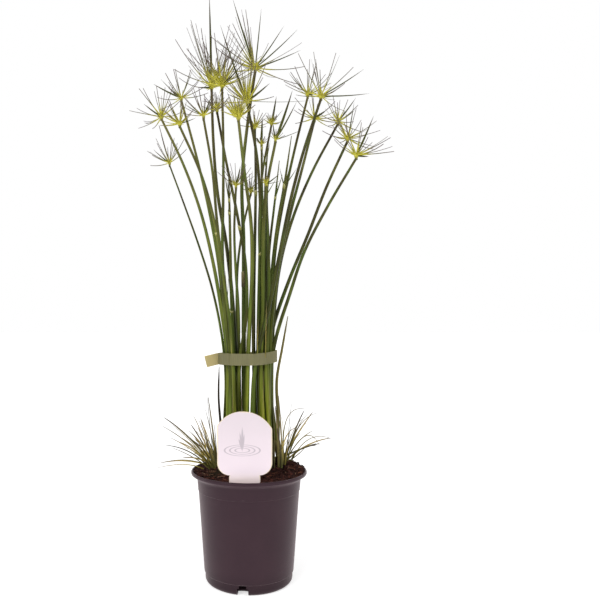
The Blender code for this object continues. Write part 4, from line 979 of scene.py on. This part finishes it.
def loose_grains(spots, sizes, rng):
    """Irregular grains: rings of a ball at even polar angles, each corner's radius strayed at random."""
    count, rows, columns = len(sizes), 4, 6
    polar = (np.arange(rows) + 0.8) * math.pi / (rows + 0.6)
    turn = np.arange(columns) * FULL_TURN / columns
    stray = rng.uniform(0.65, 1.25, (count, rows, columns))
    ball = np.stack((np.sin(polar)[:, None] * np.cos(turn), np.sin(polar)[:, None] * np.sin(turn),
                     -np.cos(polar)[:, None] + 0 * turn), axis=-1)
    squash = rng.uniform(0.55, 1.1, (count, 1, 1, 3))
    rings = spots[:, None, None] + ball[None] * (sizes[:, None, None] * stray)[..., None] * squash
    ends = np.array((0.0, 0.0, 0.9)) * sizes[:, None] * squash[:, 0, 0]
    return net(rings, spots - ends, spots + ends, tint=rng.uniform(0, 1, count))


class FillSoil(bpy.types.Operator):
    """Fill the pot with crumbled peat, with loose grains and fibres on it."""
    bl_idname = "papyrus.fill_soil"
    bl_label = "Peat"

    def execute(self, context):
        settings = papyrus_settings("soil")
        rng = np.random.default_rng(11)
        corners, _ = solid("soil")
        across = np.hypot(corners[:, 0], corners[:, 1])
        reach = across.max()
        low_reach = across[corners[:, 2] < corners[:, 2].min() + SAME_SPOT].max()
        turn = np.arange(SOIL_COLUMNS) * FULL_TURN / SOIL_COLUMNS
        radii = reach * (1 - (np.arange(SOIL_RINGS) / SOIL_RINGS) ** 1.05)[:, None]
        x, y = radii * np.cos(turn), radii * np.sin(turn)
        top = np.stack((x, y, rough_soil(x, y, rng, settings.crumbs, reach)), axis=-1)
        # The side keeps clear of the pot's inner wall, from the foot up to the lip
        low_z = corners[:, 2].min()
        side_radii = np.array((low_reach, low_reach, SOIL_SHOULDER_R * MM, reach - SOIL_LIP_GAP * MM))
        side_z = np.array((low_z, SOIL_FOOT_Z * MM, SOIL_SHOULDER_Z * MM, SOIL_LIP_Z * MM))
        base = turned(np.column_stack((side_radii, side_z)) / MM, SOIL_COLUMNS)[0]
        body = net(np.concatenate((base, top))[None], (0, 0, low_z), top[-1].mean(axis=0))
        spots = self.scatter(settings.grains, reach + 1.2 * MM, rng)
        sizes = MM * rng.uniform(0.45, 1.5, settings.grains)
        grains = loose_grains(spots, sizes, rng)
        fibres = self.fibres(settings.fibres, reach, rng)
        peat = damp_peat(settings)
        lay_piece("peat", [body], [peat], "soil")
        lay_piece("peat_crumbs", [grains, fibres], [peat, peat_fibre()])
        return {"FINISHED"}

    def scatter(self, count, reach, rng):
        """Random spots on the surface: the lowest ranks of many, lower on the heap and higher by the tag."""
        radius = reach * np.sqrt(rng.uniform(0, 1, 3 * count))
        turn = rng.uniform(0, FULL_TURN, 3 * count)
        x, y = radius * np.cos(turn), radius * np.sin(turn)
        before_tag = (np.abs(x / MM - TAG_FRONT_X) < GRAIN_FREE_HALF) & (y < GRAIN_FREE_Y * MM)
        rank = rng.uniform(0, 1, 3 * count) - 0.6 * heap(x, y) + 9.0 * before_tag
        keep = np.argsort(rank)[:count]
        x, y = x[keep], y[keep]
        lift = rng.uniform(-0.2, 0.9, count) * MM + 0.8 * MM * (np.hypot(x, y) > reach - 2.4 * MM)
        return np.stack((x, y, soil_level(x, y) + lift), axis=-1)

    def fibres(self, count, reach, rng):
        """Short bent threads that lie on the crumbs."""
        spots = self.scatter(count, reach - 3 * MM, rng)
        heading = rng.uniform(0, FULL_TURN, count)
        run = MM * rng.uniform(2.5, 9.0, count)
        share_of = np.linspace(-0.5, 0.5, 6)
        bend = rng.uniform(-1.2, 1.2, count)
        angle = heading[:, None] + bend[:, None] * share_of
        x = spots[:, :1] + run[:, None] * share_of * np.cos(angle)
        y = spots[:, 1:2] + run[:, None] * share_of * np.sin(angle)
        z = spots[:, 2:] + MM * (0.5 + rng.uniform(-1.2, 1.6, count)[:, None] * share_of)
        paths = np.stack((x, y, z), axis=-1)
        wide = MM * rng.uniform(0.1, 0.24, count)[:, None]
        return strands(paths, wide, wide, ring_outline(4), (0.01, 0.02, 1.0), finish=1,
                       tint=rng.uniform(0, 1, count))


# Tag

def tag_half_width(height, low, high, half):
    """Half width of the tag at each height: stake, neck, quarter-round corners, upright sides, round arch.

    The arch is the circle through its crown and both shoulders: radius (half^2 + rise^2) / (2 * rise).
    """
    rise = high - TAG_SHOULDER
    arch = (half**2 + rise**2) / (2 * rise)
    drop = np.clip(high - height, 0, rise)
    top = np.sqrt(drop * (2 * arch - drop))
    corner = TAG_CORNER - TAG_NECK
    drop = np.clip((TAG_CORNER - height) / corner, 0, 1)
    rounded = half - corner * (1 - np.sqrt(1 - drop**2))
    body = np.where(height > TAG_SHOULDER, top, np.where(height < TAG_CORNER, rounded, half))
    stake = np.interp(height, (low, TAG_STAKE_TOP, TAG_NECK_FOOT), (*TAG_STAKE_HALF, TAG_NECK_HALF))
    return np.where(height < TAG_NECK_FOOT, stake, np.where(height < TAG_NECK, TAG_NECK_HALF, body))


class PlaceTag(bpy.types.Operator):
    """Cut the plant tag from its outline and stand it where its solid stands."""
    bl_idname = "papyrus.place_tag"
    bl_label = "Plant tag"

    def execute(self, context):
        settings = papyrus_settings("tag")
        low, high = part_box("plant_label")
        foot, crown = low.z / MM, high.z / MM
        corner_turn = np.radians(np.linspace(0, 90, 16))
        arch_turn = np.radians(np.linspace(0, 89.2, 34))
        heights = np.concatenate((
            np.linspace(foot, TAG_NECK_FOOT, 8),
            np.linspace(TAG_NECK_FOOT + 0.2, TAG_NECK, 6),
            TAG_NECK + 0.05 + (TAG_CORNER - TAG_NECK) * (1 - np.cos(corner_turn)),
            np.linspace(TAG_CORNER + 1, TAG_SHOULDER - 1, 12),
            TAG_SHOULDER + (crown - TAG_SHOULDER) * np.sin(arch_turn)))
        wide = tag_half_width(heights, foot, crown, (high.x - low.x) / 2 / MM)
        wide = np.clip(wide, 0.6, None)[:, None]
        side, deep = slab_outline(TAG_ROUND, 0.7, 0.22).T
        # The last half millimetre under the crown thins out like a round edge
        thick = settings.thickness / 2 * np.sqrt(np.clip((crown - heights) / 0.5, 0, 1))
        aside = wide * MM * side
        x = (low.x + high.x) / 2 + aside
        y = (low.y + high.y) / 2 + thick[:, None] * deep
        # The arch was cut a little askew: its right shoulder sits lower than its left
        skew = TAG_SKEW * aside * np.clip((heights[:, None] - TAG_SKEW_FROM) / TAG_SKEW_OVER, 0, 1)
        rings = np.stack((x, y, heights[:, None] * MM - skew), axis=-1)[None]
        card = net(rings, rings[0, 0].mean(axis=0), rings[0, -1].mean(axis=0))
        nearness = self.edge_nearness(heights, wide, side, crown)
        card["along"] = np.concatenate((nearness.ravel(), (1.0, 1.0)))
        lay_piece("plant_tag", [card], [printed_polystyrene(settings)], "plant_label")
        return {"FINISHED"}

    def edge_nearness(self, heights, wide, side, top):
        """One at the cut edge, falling to zero well inside it, across or down from the arched top."""
        across = wide * (1 - np.abs(side))
        down = np.broadcast_to((top - heights)[:, None], across.shape)
        return 1 - np.clip(np.minimum(across, down) / TAG_EDGE, 0, 1)


# Tie

def tie_path(centre, half_wide, half_deep, start, end, steps):
    """Run round the bundle in plan, an ellipse from one turn to another, in degrees from the right."""
    turn = np.radians(np.linspace(start, end, steps))
    return np.column_stack((centre + half_wide * np.cos(turn), half_deep * np.sin(turn)))


class WrapTie(bpy.types.Operator):
    """Wrap the tape round the bundle and press its ends together into a tail."""
    bl_idname = "papyrus.wrap_tie"
    bl_label = "Tie"

    def execute(self, context):
        settings = papyrus_settings("tie")
        low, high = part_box("tie_band")
        centre = (settings.loop_left + high.x) / 2
        half_wide, half_deep = (high.x - settings.loop_left) / 2, high.y
        inset = settings.film_thickness
        loop = tie_path(centre, half_wide - inset, half_deep - inset, 179, -179, 120)
        tail = np.linspace((low.x, TAIL_GAP * MM), (settings.loop_left + 0.6 * MM, TAIL_GAP * MM), 10)
        plan = np.vstack((tail, loop[4:-4], tail[::-1] * (1, -1)))
        # One end of the tape laps over the outside of the loop
        lap = tie_path(centre, half_wide + 0.2 * inset, half_deep + 0.2 * inset, 181, 232, 24)
        skins = [self.tape(plan, settings, 0.0), self.tape(lap, settings, 0.2 * MM, along=0.5)]
        lay_piece("tie_tape", skins, [blown_film(settings)], "tie_band")
        return {"FINISHED"}

    def tape(self, plan, settings, shift, **marks):
        """Flat section carried along the plan: rises as x squared to the right and droops along the tail."""
        rise = TIE_RISE * np.clip(plan[:, 0], 0, None) ** 2
        droop = TIE_DROOP * np.clip(settings.loop_left - plan[:, 0], 0, None)
        middle = np.column_stack((plan, TIE_Z + rise - droop + shift))
        return strands(middle[None], settings.tape_width / 2, settings.film_thickness / 2,
                       slab_outline(16, 0.5, 0.15, 0.5), (0.0, 0.0, 1.0), **marks)


# Culms

def culm_line(node):
    """Centres, (ring, xyz), and radii of the level rings of a culm's solid, from its foot to its tip."""
    corners, _ = solid(node)
    rings = corners[np.argsort(corners[:, 2])].reshape(-1, CULM_SIDES, 3)
    centres = rings.mean(axis=1)
    radii = np.linalg.norm((rings - centres[:, None])[:, :, :2], axis=2).mean(axis=1)
    return centres, radii


def culm_course(node, sunk, stations):
    """Smooth centre line and radii at even heights from under the peat to the top."""
    centres, radii = culm_line(node)
    knots = centres[:, 2]
    heights = np.linspace(knots[0], knots[-1], stations)
    path = smooth_through(knots, centres, heights)
    girth = smooth_through(knots, radii, heights)
    path[0] -= (path[1] - path[0]) * sunk / (heights[1] - heights[0])
    return path, np.clip(1.05 * girth, 0.3 * MM, None)


def path_at(path, heights):
    """Points of a rising path at the given heights, on the straight lines between its own."""
    return np.stack([np.interp(heights, path[:, 2], path[:, axis]) for axis in range(3)], axis=-1)


class RaiseCulms(bpy.types.Operator):
    """Raise every culm along its solid's centre line, with the dead sheath at its foot."""
    bl_idname = "papyrus.raise_culms"
    bl_label = "Culms"

    def execute(self, context):
        settings = papyrus_settings("culm")
        rind, paper = culm_rind(settings), papery_sheath()
        # Each culm's share from dark to light rind is partly its own colour and partly painted light and
        # shade
        for key, bright in TONE_AND_PAINTED_LIGHT.items():
            self.raise_culm(key, bright, settings, rind, paper)
        return {"FINISHED"}

    def raise_culm(self, key, bright, settings, rind, paper):
        """One culm with the sheath at its foot, and the torn sheaths and small bracts that it has."""
        rng = np.random.default_rng(400 + int(key))
        path, girth = culm_course(f"stem_{key}", settings.sunk, CULM_STATIONS)
        turn = rng.uniform(0, FULL_TURN)
        side = (math.cos(turn), math.sin(turn), 0.0)
        foot = path[0, 2]
        culm = strands(path[None], girth, girth, ring_outline(CULM_CORNERS, 3, settings.corner), side,
                       along=np.clip((path[:, 2] - foot) / CULM_TALL, 0, 1), tint=bright)
        tall = settings.sunk + rng.uniform(10, 34) * MM
        skins = [culm, self.sheath(path, girth, foot, foot + tall, 3.0, rng.uniform(0.0, 0.22), side)]
        for owner, height, length_up, dry in TORN_SHEATHS:
            if owner == key:
                start = height * MM
                skins.append(self.sheath(path, girth, start, start + length_up * MM, 2.0, dry, side))
        for owner, height, *reach in SIDE_BRACTS:
            if owner == key:
                skins.append(self.side_bract(path, height * MM, np.array(reach) * MM))
        lay_piece(f"culm_{key}", skins, [rind, paper], f"stem_{key}")

    def sheath(self, path, girth, start, end, slant, dry, side):
        """Dead sheath from one height to another: the culm's own skin a little out, its mouth cut aslant."""
        heights = np.linspace(start, end, 12)
        fat = np.interp(heights, path[:, 2], girth) + MM * np.interp(heights, (start, end), (0.15, 0.35))
        fat[0] -= 0.2 * MM
        lean = np.linspace(0.0, slant * MM, 12)
        return strands(path_at(path, heights)[None], fat, fat, ring_outline(CULM_CORNERS, 1, 0.06), side,
                       slant=lean, finish=1, tint=dry)

    def side_bract(self, path, height, reach):
        """Small keeled bract that stands off the culm from its root to its tip."""
        t = np.linspace(0, 1, BLADE_STATIONS)
        course = path_at(path, height) + reach * t[:, None]
        course[:, 2] -= 0.12 * np.hypot(*reach[:2]) * t * (1 - t)
        wide = 0.9 * MM * np.interp(t, (0, 0.2, 0.6, 1.0), (1.0, 1.0, 0.6, 0.12))
        return strands(course[None], wide, wide * 0.7, blade_outline(0.35), side_of(unit(reach)[None], 1.0),
                       along=0.35 + 0.3 * t, tint=0.8)


# Sprays

def drawn_points(node):
    """What a hub's solid is drawn out into: its middle, and each point's tip, bend and half width."""
    corners, triangles = solid(node)
    tips = np.flatnonzero(np.bincount(triangles.ravel()) == 3)
    is_tip = np.isin(triangles, tips)
    touching = triangles[is_tip.any(axis=1)]
    tip_of = touching[np.isin(touching, tips)]
    order = np.argsort(tip_of, kind="stable")
    others = touching[~np.isin(touching, tips)].reshape(-1, 2)[order].reshape(-1, 6)
    rings = corners[others]
    bends = rings.mean(axis=1)
    widths = np.linalg.norm(rings - bends[:, None], axis=2).mean(axis=1)
    hub = np.setdiff1d(np.arange(len(corners)), np.concatenate((tips, others.ravel())))
    return corners[hub].mean(axis=0), corners[np.sort(tip_of)[::3]], bends, widths


def bowed(roots, bends, tips, stations):
    """Parabola from root to tip through the bend at its middle: (strand, station, xyz)."""
    t = np.linspace(0, 1, stations)[None, :, None]
    pull = 2 * bends - (roots + tips) / 2
    return (1 - t) ** 2 * roots[:, None] + 2 * t * (1 - t) * pull[:, None] + t**2 * tips[:, None]


def side_of(ways, roll=0.0):
    """A side vector for each way: square to it and level, or along x where it is upright, then rolled."""
    side = np.cross(ways, (0.0, 0.0, 1.0))
    flat = np.linalg.norm(side, axis=1, keepdims=True)
    side = np.where(flat > 0.05, side / np.maximum(flat, 0.05), (1.0, 0.0, 0.0))
    roll = np.broadcast_to(roll, len(ways))[:, None]
    return side * np.cos(roll) + np.cross(ways, side) * np.sin(roll)


def ray_widths(reach, width, root_reach, rng):
    """Half widths along rays of given lengths: a sheathed root of up to 8 mm, a step in, and a slow taper."""
    t = np.linspace(0, 1, RAY_STATIONS)
    run = t * reach[:, None] / MM / root_reach
    root = 1 + min(root_reach, 1.3) * np.interp(run, (0.0, 4.0, 8.0, 13.0), (0.1, 0.45, 0.4, 0.0))
    return width * root * np.interp(t, (0.3, 1.0), (1.0, 0.7)) * rng.uniform(0.8, 1.2, (len(reach), 1))


def between_rays(middle, tips, bends, count, rng, lift):
    """New tips and bends between random pairs of near neighbours, a little shorter, strayed and lifted."""
    ways = tips - middle
    reach = np.linalg.norm(ways, axis=1)
    ways = ways / reach[:, None]
    near = np.argsort(-(ways @ ways.T), axis=1)[:, 1:5]
    first = rng.integers(0, len(tips), count)
    second = near[first, rng.integers(0, near.shape[1], count)]
    mix = rng.uniform(0.15, 0.85, (count, 1))
    strayed = rng.normal(0, 0.07, (count, 3)) + np.array((0.0, 0.0, lift)) * rng.uniform(0, 1, (count, 1))
    way = unit(ways[first] * (1 - mix) + ways[second] * mix + strayed)
    far = (reach[first, None] * (1 - mix) + reach[second, None] * mix) * rng.uniform(0.62, 1.0, (count, 1))
    dips = bends - (middle + tips) / 2
    dip = (dips[first] + dips[second]) / 2 * rng.uniform(0.3, 1.3, (count, 1))
    new_tips = middle + way * far
    return new_tips, (middle + new_tips) / 2 + dip


class OpenSprays(bpy.types.Operator):
    """Open the umbel on each culm: its hub, its thread-like rays and its bracts."""
    bl_idname = "papyrus.open_sprays"
    bl_label = "Umbels"

    def execute(self, context):
        settings = papyrus_settings("spray")
        finishes = [thread_ray(settings), bract_blade()]
        for node in sorted(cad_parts):
            if node.startswith("umbel_"):
                self.open_spray(node, settings, finishes)
        return {"FINISHED"}

    def open_spray(self, node, settings, finishes):
        """One umbel: the rays and bracts that its solid is drawn out into, and finer rays between them."""
        key = node.removeprefix("umbel_")
        rng = np.random.default_rng(700 + int(key))
        middle, tips, bends, widths = drawn_points(node)
        low, high = (np.array(corner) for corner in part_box(node))
        thin = widths < BRACT_WIDTH * MM
        root_reach = ROOT_REACH.get(key, USUAL_REACH)
        if root_reach > LARGE_REACH:
            count, lift = settings.extra_large, 0.8
        else:
            count, lift = settings.extra_small, 0.2
        more_tips, more_bends = between_rays(middle, tips[thin], bends[thin], count, rng, lift)
        all_tips = np.concatenate((tips[thin], np.clip(more_tips, low, high)))
        all_bends = np.concatenate((bends[thin], more_bends))
        straighter = (middle + all_tips) / 2
        all_bends = straighter + (all_bends - straighter) * rng.uniform(0.3, 1.1, (len(all_bends), 1))
        ways = unit(all_tips - middle)
        paths = bowed(middle + ways * 0.8 * MM, all_bends, all_tips, RAY_STATIONS)
        wide = ray_widths(np.linalg.norm(all_tips - middle, axis=1), settings.ray_width, root_reach, rng)
        wide[len(wide) - count:] *= settings.extra_share
        if root_reach < SMALL_REACH:
            wide *= SMALL_RAY
        rays = strands(paths, wide, wide, ring_outline(RAY_CORNERS), side_of(ways),
                       tint=rng.uniform(0, 1, len(paths)))
        rays["straight"][:, 2] /= root_reach
        skins = [self.hub(middle, key, root_reach), rays]
        if not thin.all():
            skins.append(self.bracts(middle, tips[~thin], bends[~thin], widths[~thin], rng))
        if root_reach >= 1:
            skins.append(self.young_rays(middle, round(settings.young * root_reach), root_reach, rng))
        lay_piece(f"spray_{key}", skins, finishes, node)

    def hub(self, middle, key, root_reach):
        """Swollen culm end: a lobed pear, wide at the ray roots, narrow and dull where it meets the culm."""
        centres, radii = culm_line(f"stem_{key}")
        top, thick = centres[-1], radii[-1] / MM
        t = np.linspace(0, 1, 9)
        wide = max(0.9 + 1.1 * min(root_reach, 1.3), thick)
        swell = np.interp(t, (0, 0.15, 0.4, 0.7, 1.0), (0.8, wide * 0.9, wide, thick * 1.1, thick * 1.02))
        path = top + (middle - top) * (1.5 - 2.2 * t[:, None])
        skin = strands(path[None], swell * MM, swell * MM, ring_outline(14, 7, 0.12), (1.0, 0.2, 0.0),
                       along=np.linspace(0.1, 0.7, len(t)), tint=0.1)
        # To the finish the hub is the start of a ray, further along it where the roots reach less
        skin["straight"][:, 2] = 2.2 * skin["straight"][:, 2] + 9 * MM * max(0.0, 1 - root_reach)
        return skin

    def young_rays(self, middle, count, root_reach, rng):
        """Short bright rays still in their sheaths, all round the hub's upper side."""
        ways = unit(rng.normal(0, 1, (count, 3)) * (1.0, 1.0, 0.7) + (0.0, 0.0, 0.9))
        reach = MM * (3.0 + 3.2 * root_reach) * rng.uniform(0.5, 1.0, (count, 1))
        tips = middle + ways * reach
        paths = bowed(middle + ways * 0.5 * MM, (middle + tips) / 2, tips, RAY_STATIONS)
        t = np.linspace(0, 1, RAY_STATIONS)
        wide = 0.6 * MM * np.interp(t, (0.0, 0.6, 1.0), (1.0, 0.9, 0.35)) * rng.uniform(0.8, 1.2, (count, 1))
        rays = strands(paths, wide, wide, ring_outline(RAY_CORNERS), side_of(ways),
                       along=0.3 * t, tint=rng.uniform(0, 0.5, count))
        rays["straight"][:, 2] /= root_reach
        return rays

    def bracts(self, middle, tips, bends, widths, rng):
        """Keeled blades: widest a third of the way up, drawn to a point."""
        t = np.linspace(0, 1, BLADE_STATIONS)
        shape = np.interp(t, (0, 0.12, 0.35, 0.75, 1.0), (0.75, 0.95, 1.0, 0.62, 0.08))
        ways = unit(tips - middle)
        paths = bowed(middle + ways * 0.5 * MM, bends, tips, BLADE_STATIONS)
        wide = widths[:, None] * shape * 1.15
        roll = rng.uniform(0.3, 1.2, len(paths)) * rng.choice((-1, 1), len(paths))
        return strands(paths, wide, wide * 0.8, blade_outline(0.35), side_of(ways, roll), finish=1,
                       tint=rng.uniform(0, 1, len(paths)))


# Basal leaves

class GrowLeaves(bpy.types.Operator):
    """Grow the basal tufts and the two lone leaves beside the bundle."""
    bl_idname = "papyrus.grow_leaves"
    bl_label = "Basal leaves"

    def execute(self, context):
        settings = papyrus_settings("leaf")
        blade, sheath = basal_blade(), papery_sheath()
        for index, node in enumerate(("leaf_tuft_left", "leaf_tuft_right")):
            self.grow_tuft(node, settings, [blade, sheath], np.random.default_rng(900 + index))
        self.grow_leaf("dry_leaf_left", "dry_leaf", "dry_leaf", withered_blade(), half=1.6, aside=3.0)
        self.grow_leaf("young_leaf_right", "young_leaf", "leaf", blade, half=2.1, aside=2.0)
        return {"FINISHED"}

    def grow_tuft(self, node, settings, finishes, rng):
        """One tuft: the blades that its solid is drawn out into, finer ones between them and loose ones."""
        middle, tips, bends, _ = drawn_points(node)
        low, high = (np.array(corner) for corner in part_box(node))
        added = settings.blades if node.endswith("left") else settings.blades // 3
        more_tips, more_bends = between_rays(middle, tips, bends, added, rng, 0.5)
        tips = np.concatenate((tips, np.clip(more_tips, low, high)))
        bends = np.concatenate((bends, more_bends))
        count = len(tips)
        stray = (rng.normal(0, 3.2, count), rng.normal(0, 2.6, count), np.full(count, -2.0))
        # The blades are two fifths nearer to straight than the solid's
        bends = bends + 0.4 * ((middle + tips) / 2 - bends)
        paths = bowed(middle + np.column_stack(stray) * MM, bends, tips, BLADE_STATIONS)
        t = np.linspace(0, 1, BLADE_STATIONS)
        fine = np.where(np.arange(count) < count - added, 1.0, 0.62) * rng.uniform(0.75, 1.1, count)
        taper = np.interp(t, (0, 0.2, 0.6, 0.9, 1.0), (1.0, 0.95, 0.82, 0.58, 0.25))
        wide = 0.95 * MM * fine[:, None] * taper
        roll = rng.uniform(0.9, 1.5, count) * rng.choice((-1, 1), count)
        green = rng.uniform(0, 1, count) < GREEN_SHARE
        dry = np.where(green, rng.uniform(0, 0.25, count), rng.uniform(0.7, 1.0, count))
        side = side_of(unit(tips - middle), roll)
        blades = strands(paths, wide, wide * 0.7, blade_outline(0.4), side, tint=dry)
        skins = [blades, self.loose_blades(node, rng)]
        lay_piece(node.replace("leaf_tuft", "tuft"), skins, finishes, node)

    def loose_blades(self, node, rng):
        """Single blades and threads along parabolas through their root, middle and tip."""
        rows = np.array(LOOSE_BLADES[node])
        roots, middles, tips = (rows[:, start:start + 3] * MM for start in (0, 3, 6))
        paths = bowed(roots, middles, tips, BLADE_STATIONS)
        t = np.linspace(0, 1, BLADE_STATIONS)
        wide = rows[:, 9:10] * MM * np.interp(t, (0, 0.3, 0.8, 1.0), (1.0, 1.0, 0.6, 0.3))
        roll = rng.uniform(1.1, 1.5, len(rows)) * rng.choice((-1, 1), len(rows))
        side = side_of(unit(tips - roots), roll)
        return strands(paths, wide, wide * 0.6, blade_outline(0.3), side, tint=rows[:, 10])

    def grow_leaf(self, node, name, slot, blade, half, aside):
        """Thin leaf along the solid's centre line, the mean of its corners at each height, its foot aside."""
        corners, _ = solid(node)
        order = np.argsort(corners[:, 2])
        rings = np.array([corners[order[start:start + 4]].mean(axis=0) for start in range(0, len(order), 4)])
        heights = np.linspace(rings[0, 2], rings[-1, 2], 40)
        path = smooth_through(rings[:, 2], rings, heights)
        t = np.linspace(0, 1, 40)
        path[:, 0] += aside * MM * (1 - t)
        wide = half * MM * np.interp(t, (0, 0.5, 0.85, 1.0), (1.0, 0.85, 0.6, 0.2))
        skin = strands(path[None], wide, wide * 0.6, blade_outline(0.35), (1.0, 0.1, 0.0),
                       along=0.5 * t, tint=LEAF_DRY)
        lay_piece(name, [skin], [blade], node)


# Stage

class SetStage(bpy.types.Operator):
    """Lay the floor and set the light and the camera."""
    bl_idname = "papyrus.set_stage"
    bl_label = "Stage"

    def execute(self, context):
        settings = papyrus_settings("stage")
        scene = context.scene
        self.lay_floor(settings)
        self.light(scene, settings)
        self.aim_camera(scene)
        scene.view_settings.view_transform = "Standard"
        return {"FINISHED"}

    def lay_floor(self, settings):
        """Round sheet of paper: one face inside a ring about its middle."""
        points = np.column_stack((FLOOR_REACH * ring_outline(FLOOR_SIDES), np.zeros(FLOOR_SIDES)))
        mesh = bpy.data.meshes.new("floor")
        mesh.from_pydata(points.tolist(), [], [list(range(FLOOR_SIDES))])
        mesh.materials.append(studio_paper(settings))
        floor = bpy.data.objects.new("floor", mesh)
        bpy.context.scene.collection.objects.link(floor)

    def light(self, scene, settings):
        """Even sky that looks white, a wide soft key from the upper left and a weaker fill from the right."""
        world = bpy.data.worlds.new("studio")
        world.use_nodes = True
        tree = world.node_tree
        tree.nodes.clear()
        path = add_node(tree, "LightPath")
        way = add_node(tree, "TexCoord").outputs["Generated"]
        depth = add_node(tree, "SeparateXYZ", {"Vector": way}).outputs["Y"]
        # A gloss mirrors the white backdrop behind the plant and the dim room before it
        mirrored = add_node(tree, "MapRange", {"Value": depth, "From Min": -0.45, "From Max": 0.75,
                                               "To Min": settings.room, "To Max": 1.15},
                            interpolation_type="SMOOTHSTEP")
        even = (settings.sky, settings.sky, settings.sky, 1.0)
        gloss = add_node(tree, "MixRGB", {
            "Fac": path.outputs["Is Glossy Ray"], "Color1": even, "Color2": mirrored})
        seen = add_node(tree, "MixRGB", {
            "Fac": path.outputs["Is Camera Ray"], "Color1": gloss, "Color2": (1.0, 1.0, 1.0, 1.0)})
        sky = add_node(tree, "Background", {"Color": seen, "Strength": 1.0})
        add_node(tree, "OutputWorld", {"Surface": sky})
        scene.world = world
        for name, energy, turn in (("key", settings.key, KEY_TURN), ("fill", settings.fill, FILL_TURN)):
            lamp = bpy.data.lights.new(name, "SUN")
            lamp.energy = energy
            lamp.angle = math.radians(LAMP_SOFTNESS)
            light = bpy.data.objects.new(name, lamp)
            light.rotation_euler = np.radians(turn)
            scene.collection.objects.link(light)

    def aim_camera(self, scene):
        """Level camera in front of the pot, a little above the tie."""
        lens = bpy.data.cameras.new("camera")
        lens.sensor_width = 36.0
        lens.lens = CAMERA_LENS
        lens.shift_x, lens.shift_y = CAMERA_SHIFT
        lens.clip_start = 0.01
        camera = bpy.data.objects.new("camera", lens)
        camera.location = CAMERA_SPOT
        camera.rotation_euler = (math.radians(90), 0.0, 0.0)
        scene.collection.objects.link(camera)
        scene.camera = camera


BUILDERS = (BuildPot, FillSoil, PlaceTag, WrapTie, RaiseCulms, OpenSprays, GrowLeaves, SetStage)


class PapyrusPanel(bpy.types.Panel):
    """Sidebar panel that lists the pieces and their settings."""
    bl_idname = "VIEW3D_PT_papyrus"
    bl_label = "Potted Papyrus"
    bl_space_type = "VIEW_3D"
    bl_region_type = "UI"
    bl_category = "Papyrus"

    def draw(self, context):
        for builder, (part, group) in zip(BUILDERS, SETTINGS.items()):
            box = self.layout.box()
            box.operator(builder.bl_idname)
            for setting in group.__annotations__:
                box.prop(getattr(context.scene, "papyrus_" + part), setting)


def register():
    for part, group in SETTINGS.items():
        bpy.utils.register_class(group)
        setattr(bpy.types.Scene, "papyrus_" + part, bpy.props.PointerProperty(type=group))
    for builder in (*BUILDERS, PapyrusPanel):
        bpy.utils.register_class(builder)


def unregister():
    for builder in (PapyrusPanel, *reversed(BUILDERS)):
        bpy.utils.unregister_class(builder)
    for part, group in reversed(SETTINGS.items()):
        delattr(bpy.types.Scene, "papyrus_" + part)
        bpy.utils.unregister_class(group)


def main():
    register()
    for builder in BUILDERS:
        space, name = builder.bl_idname.split(".")
        getattr(getattr(bpy.ops, space), name)()


if __name__ == "__main__":
    main()
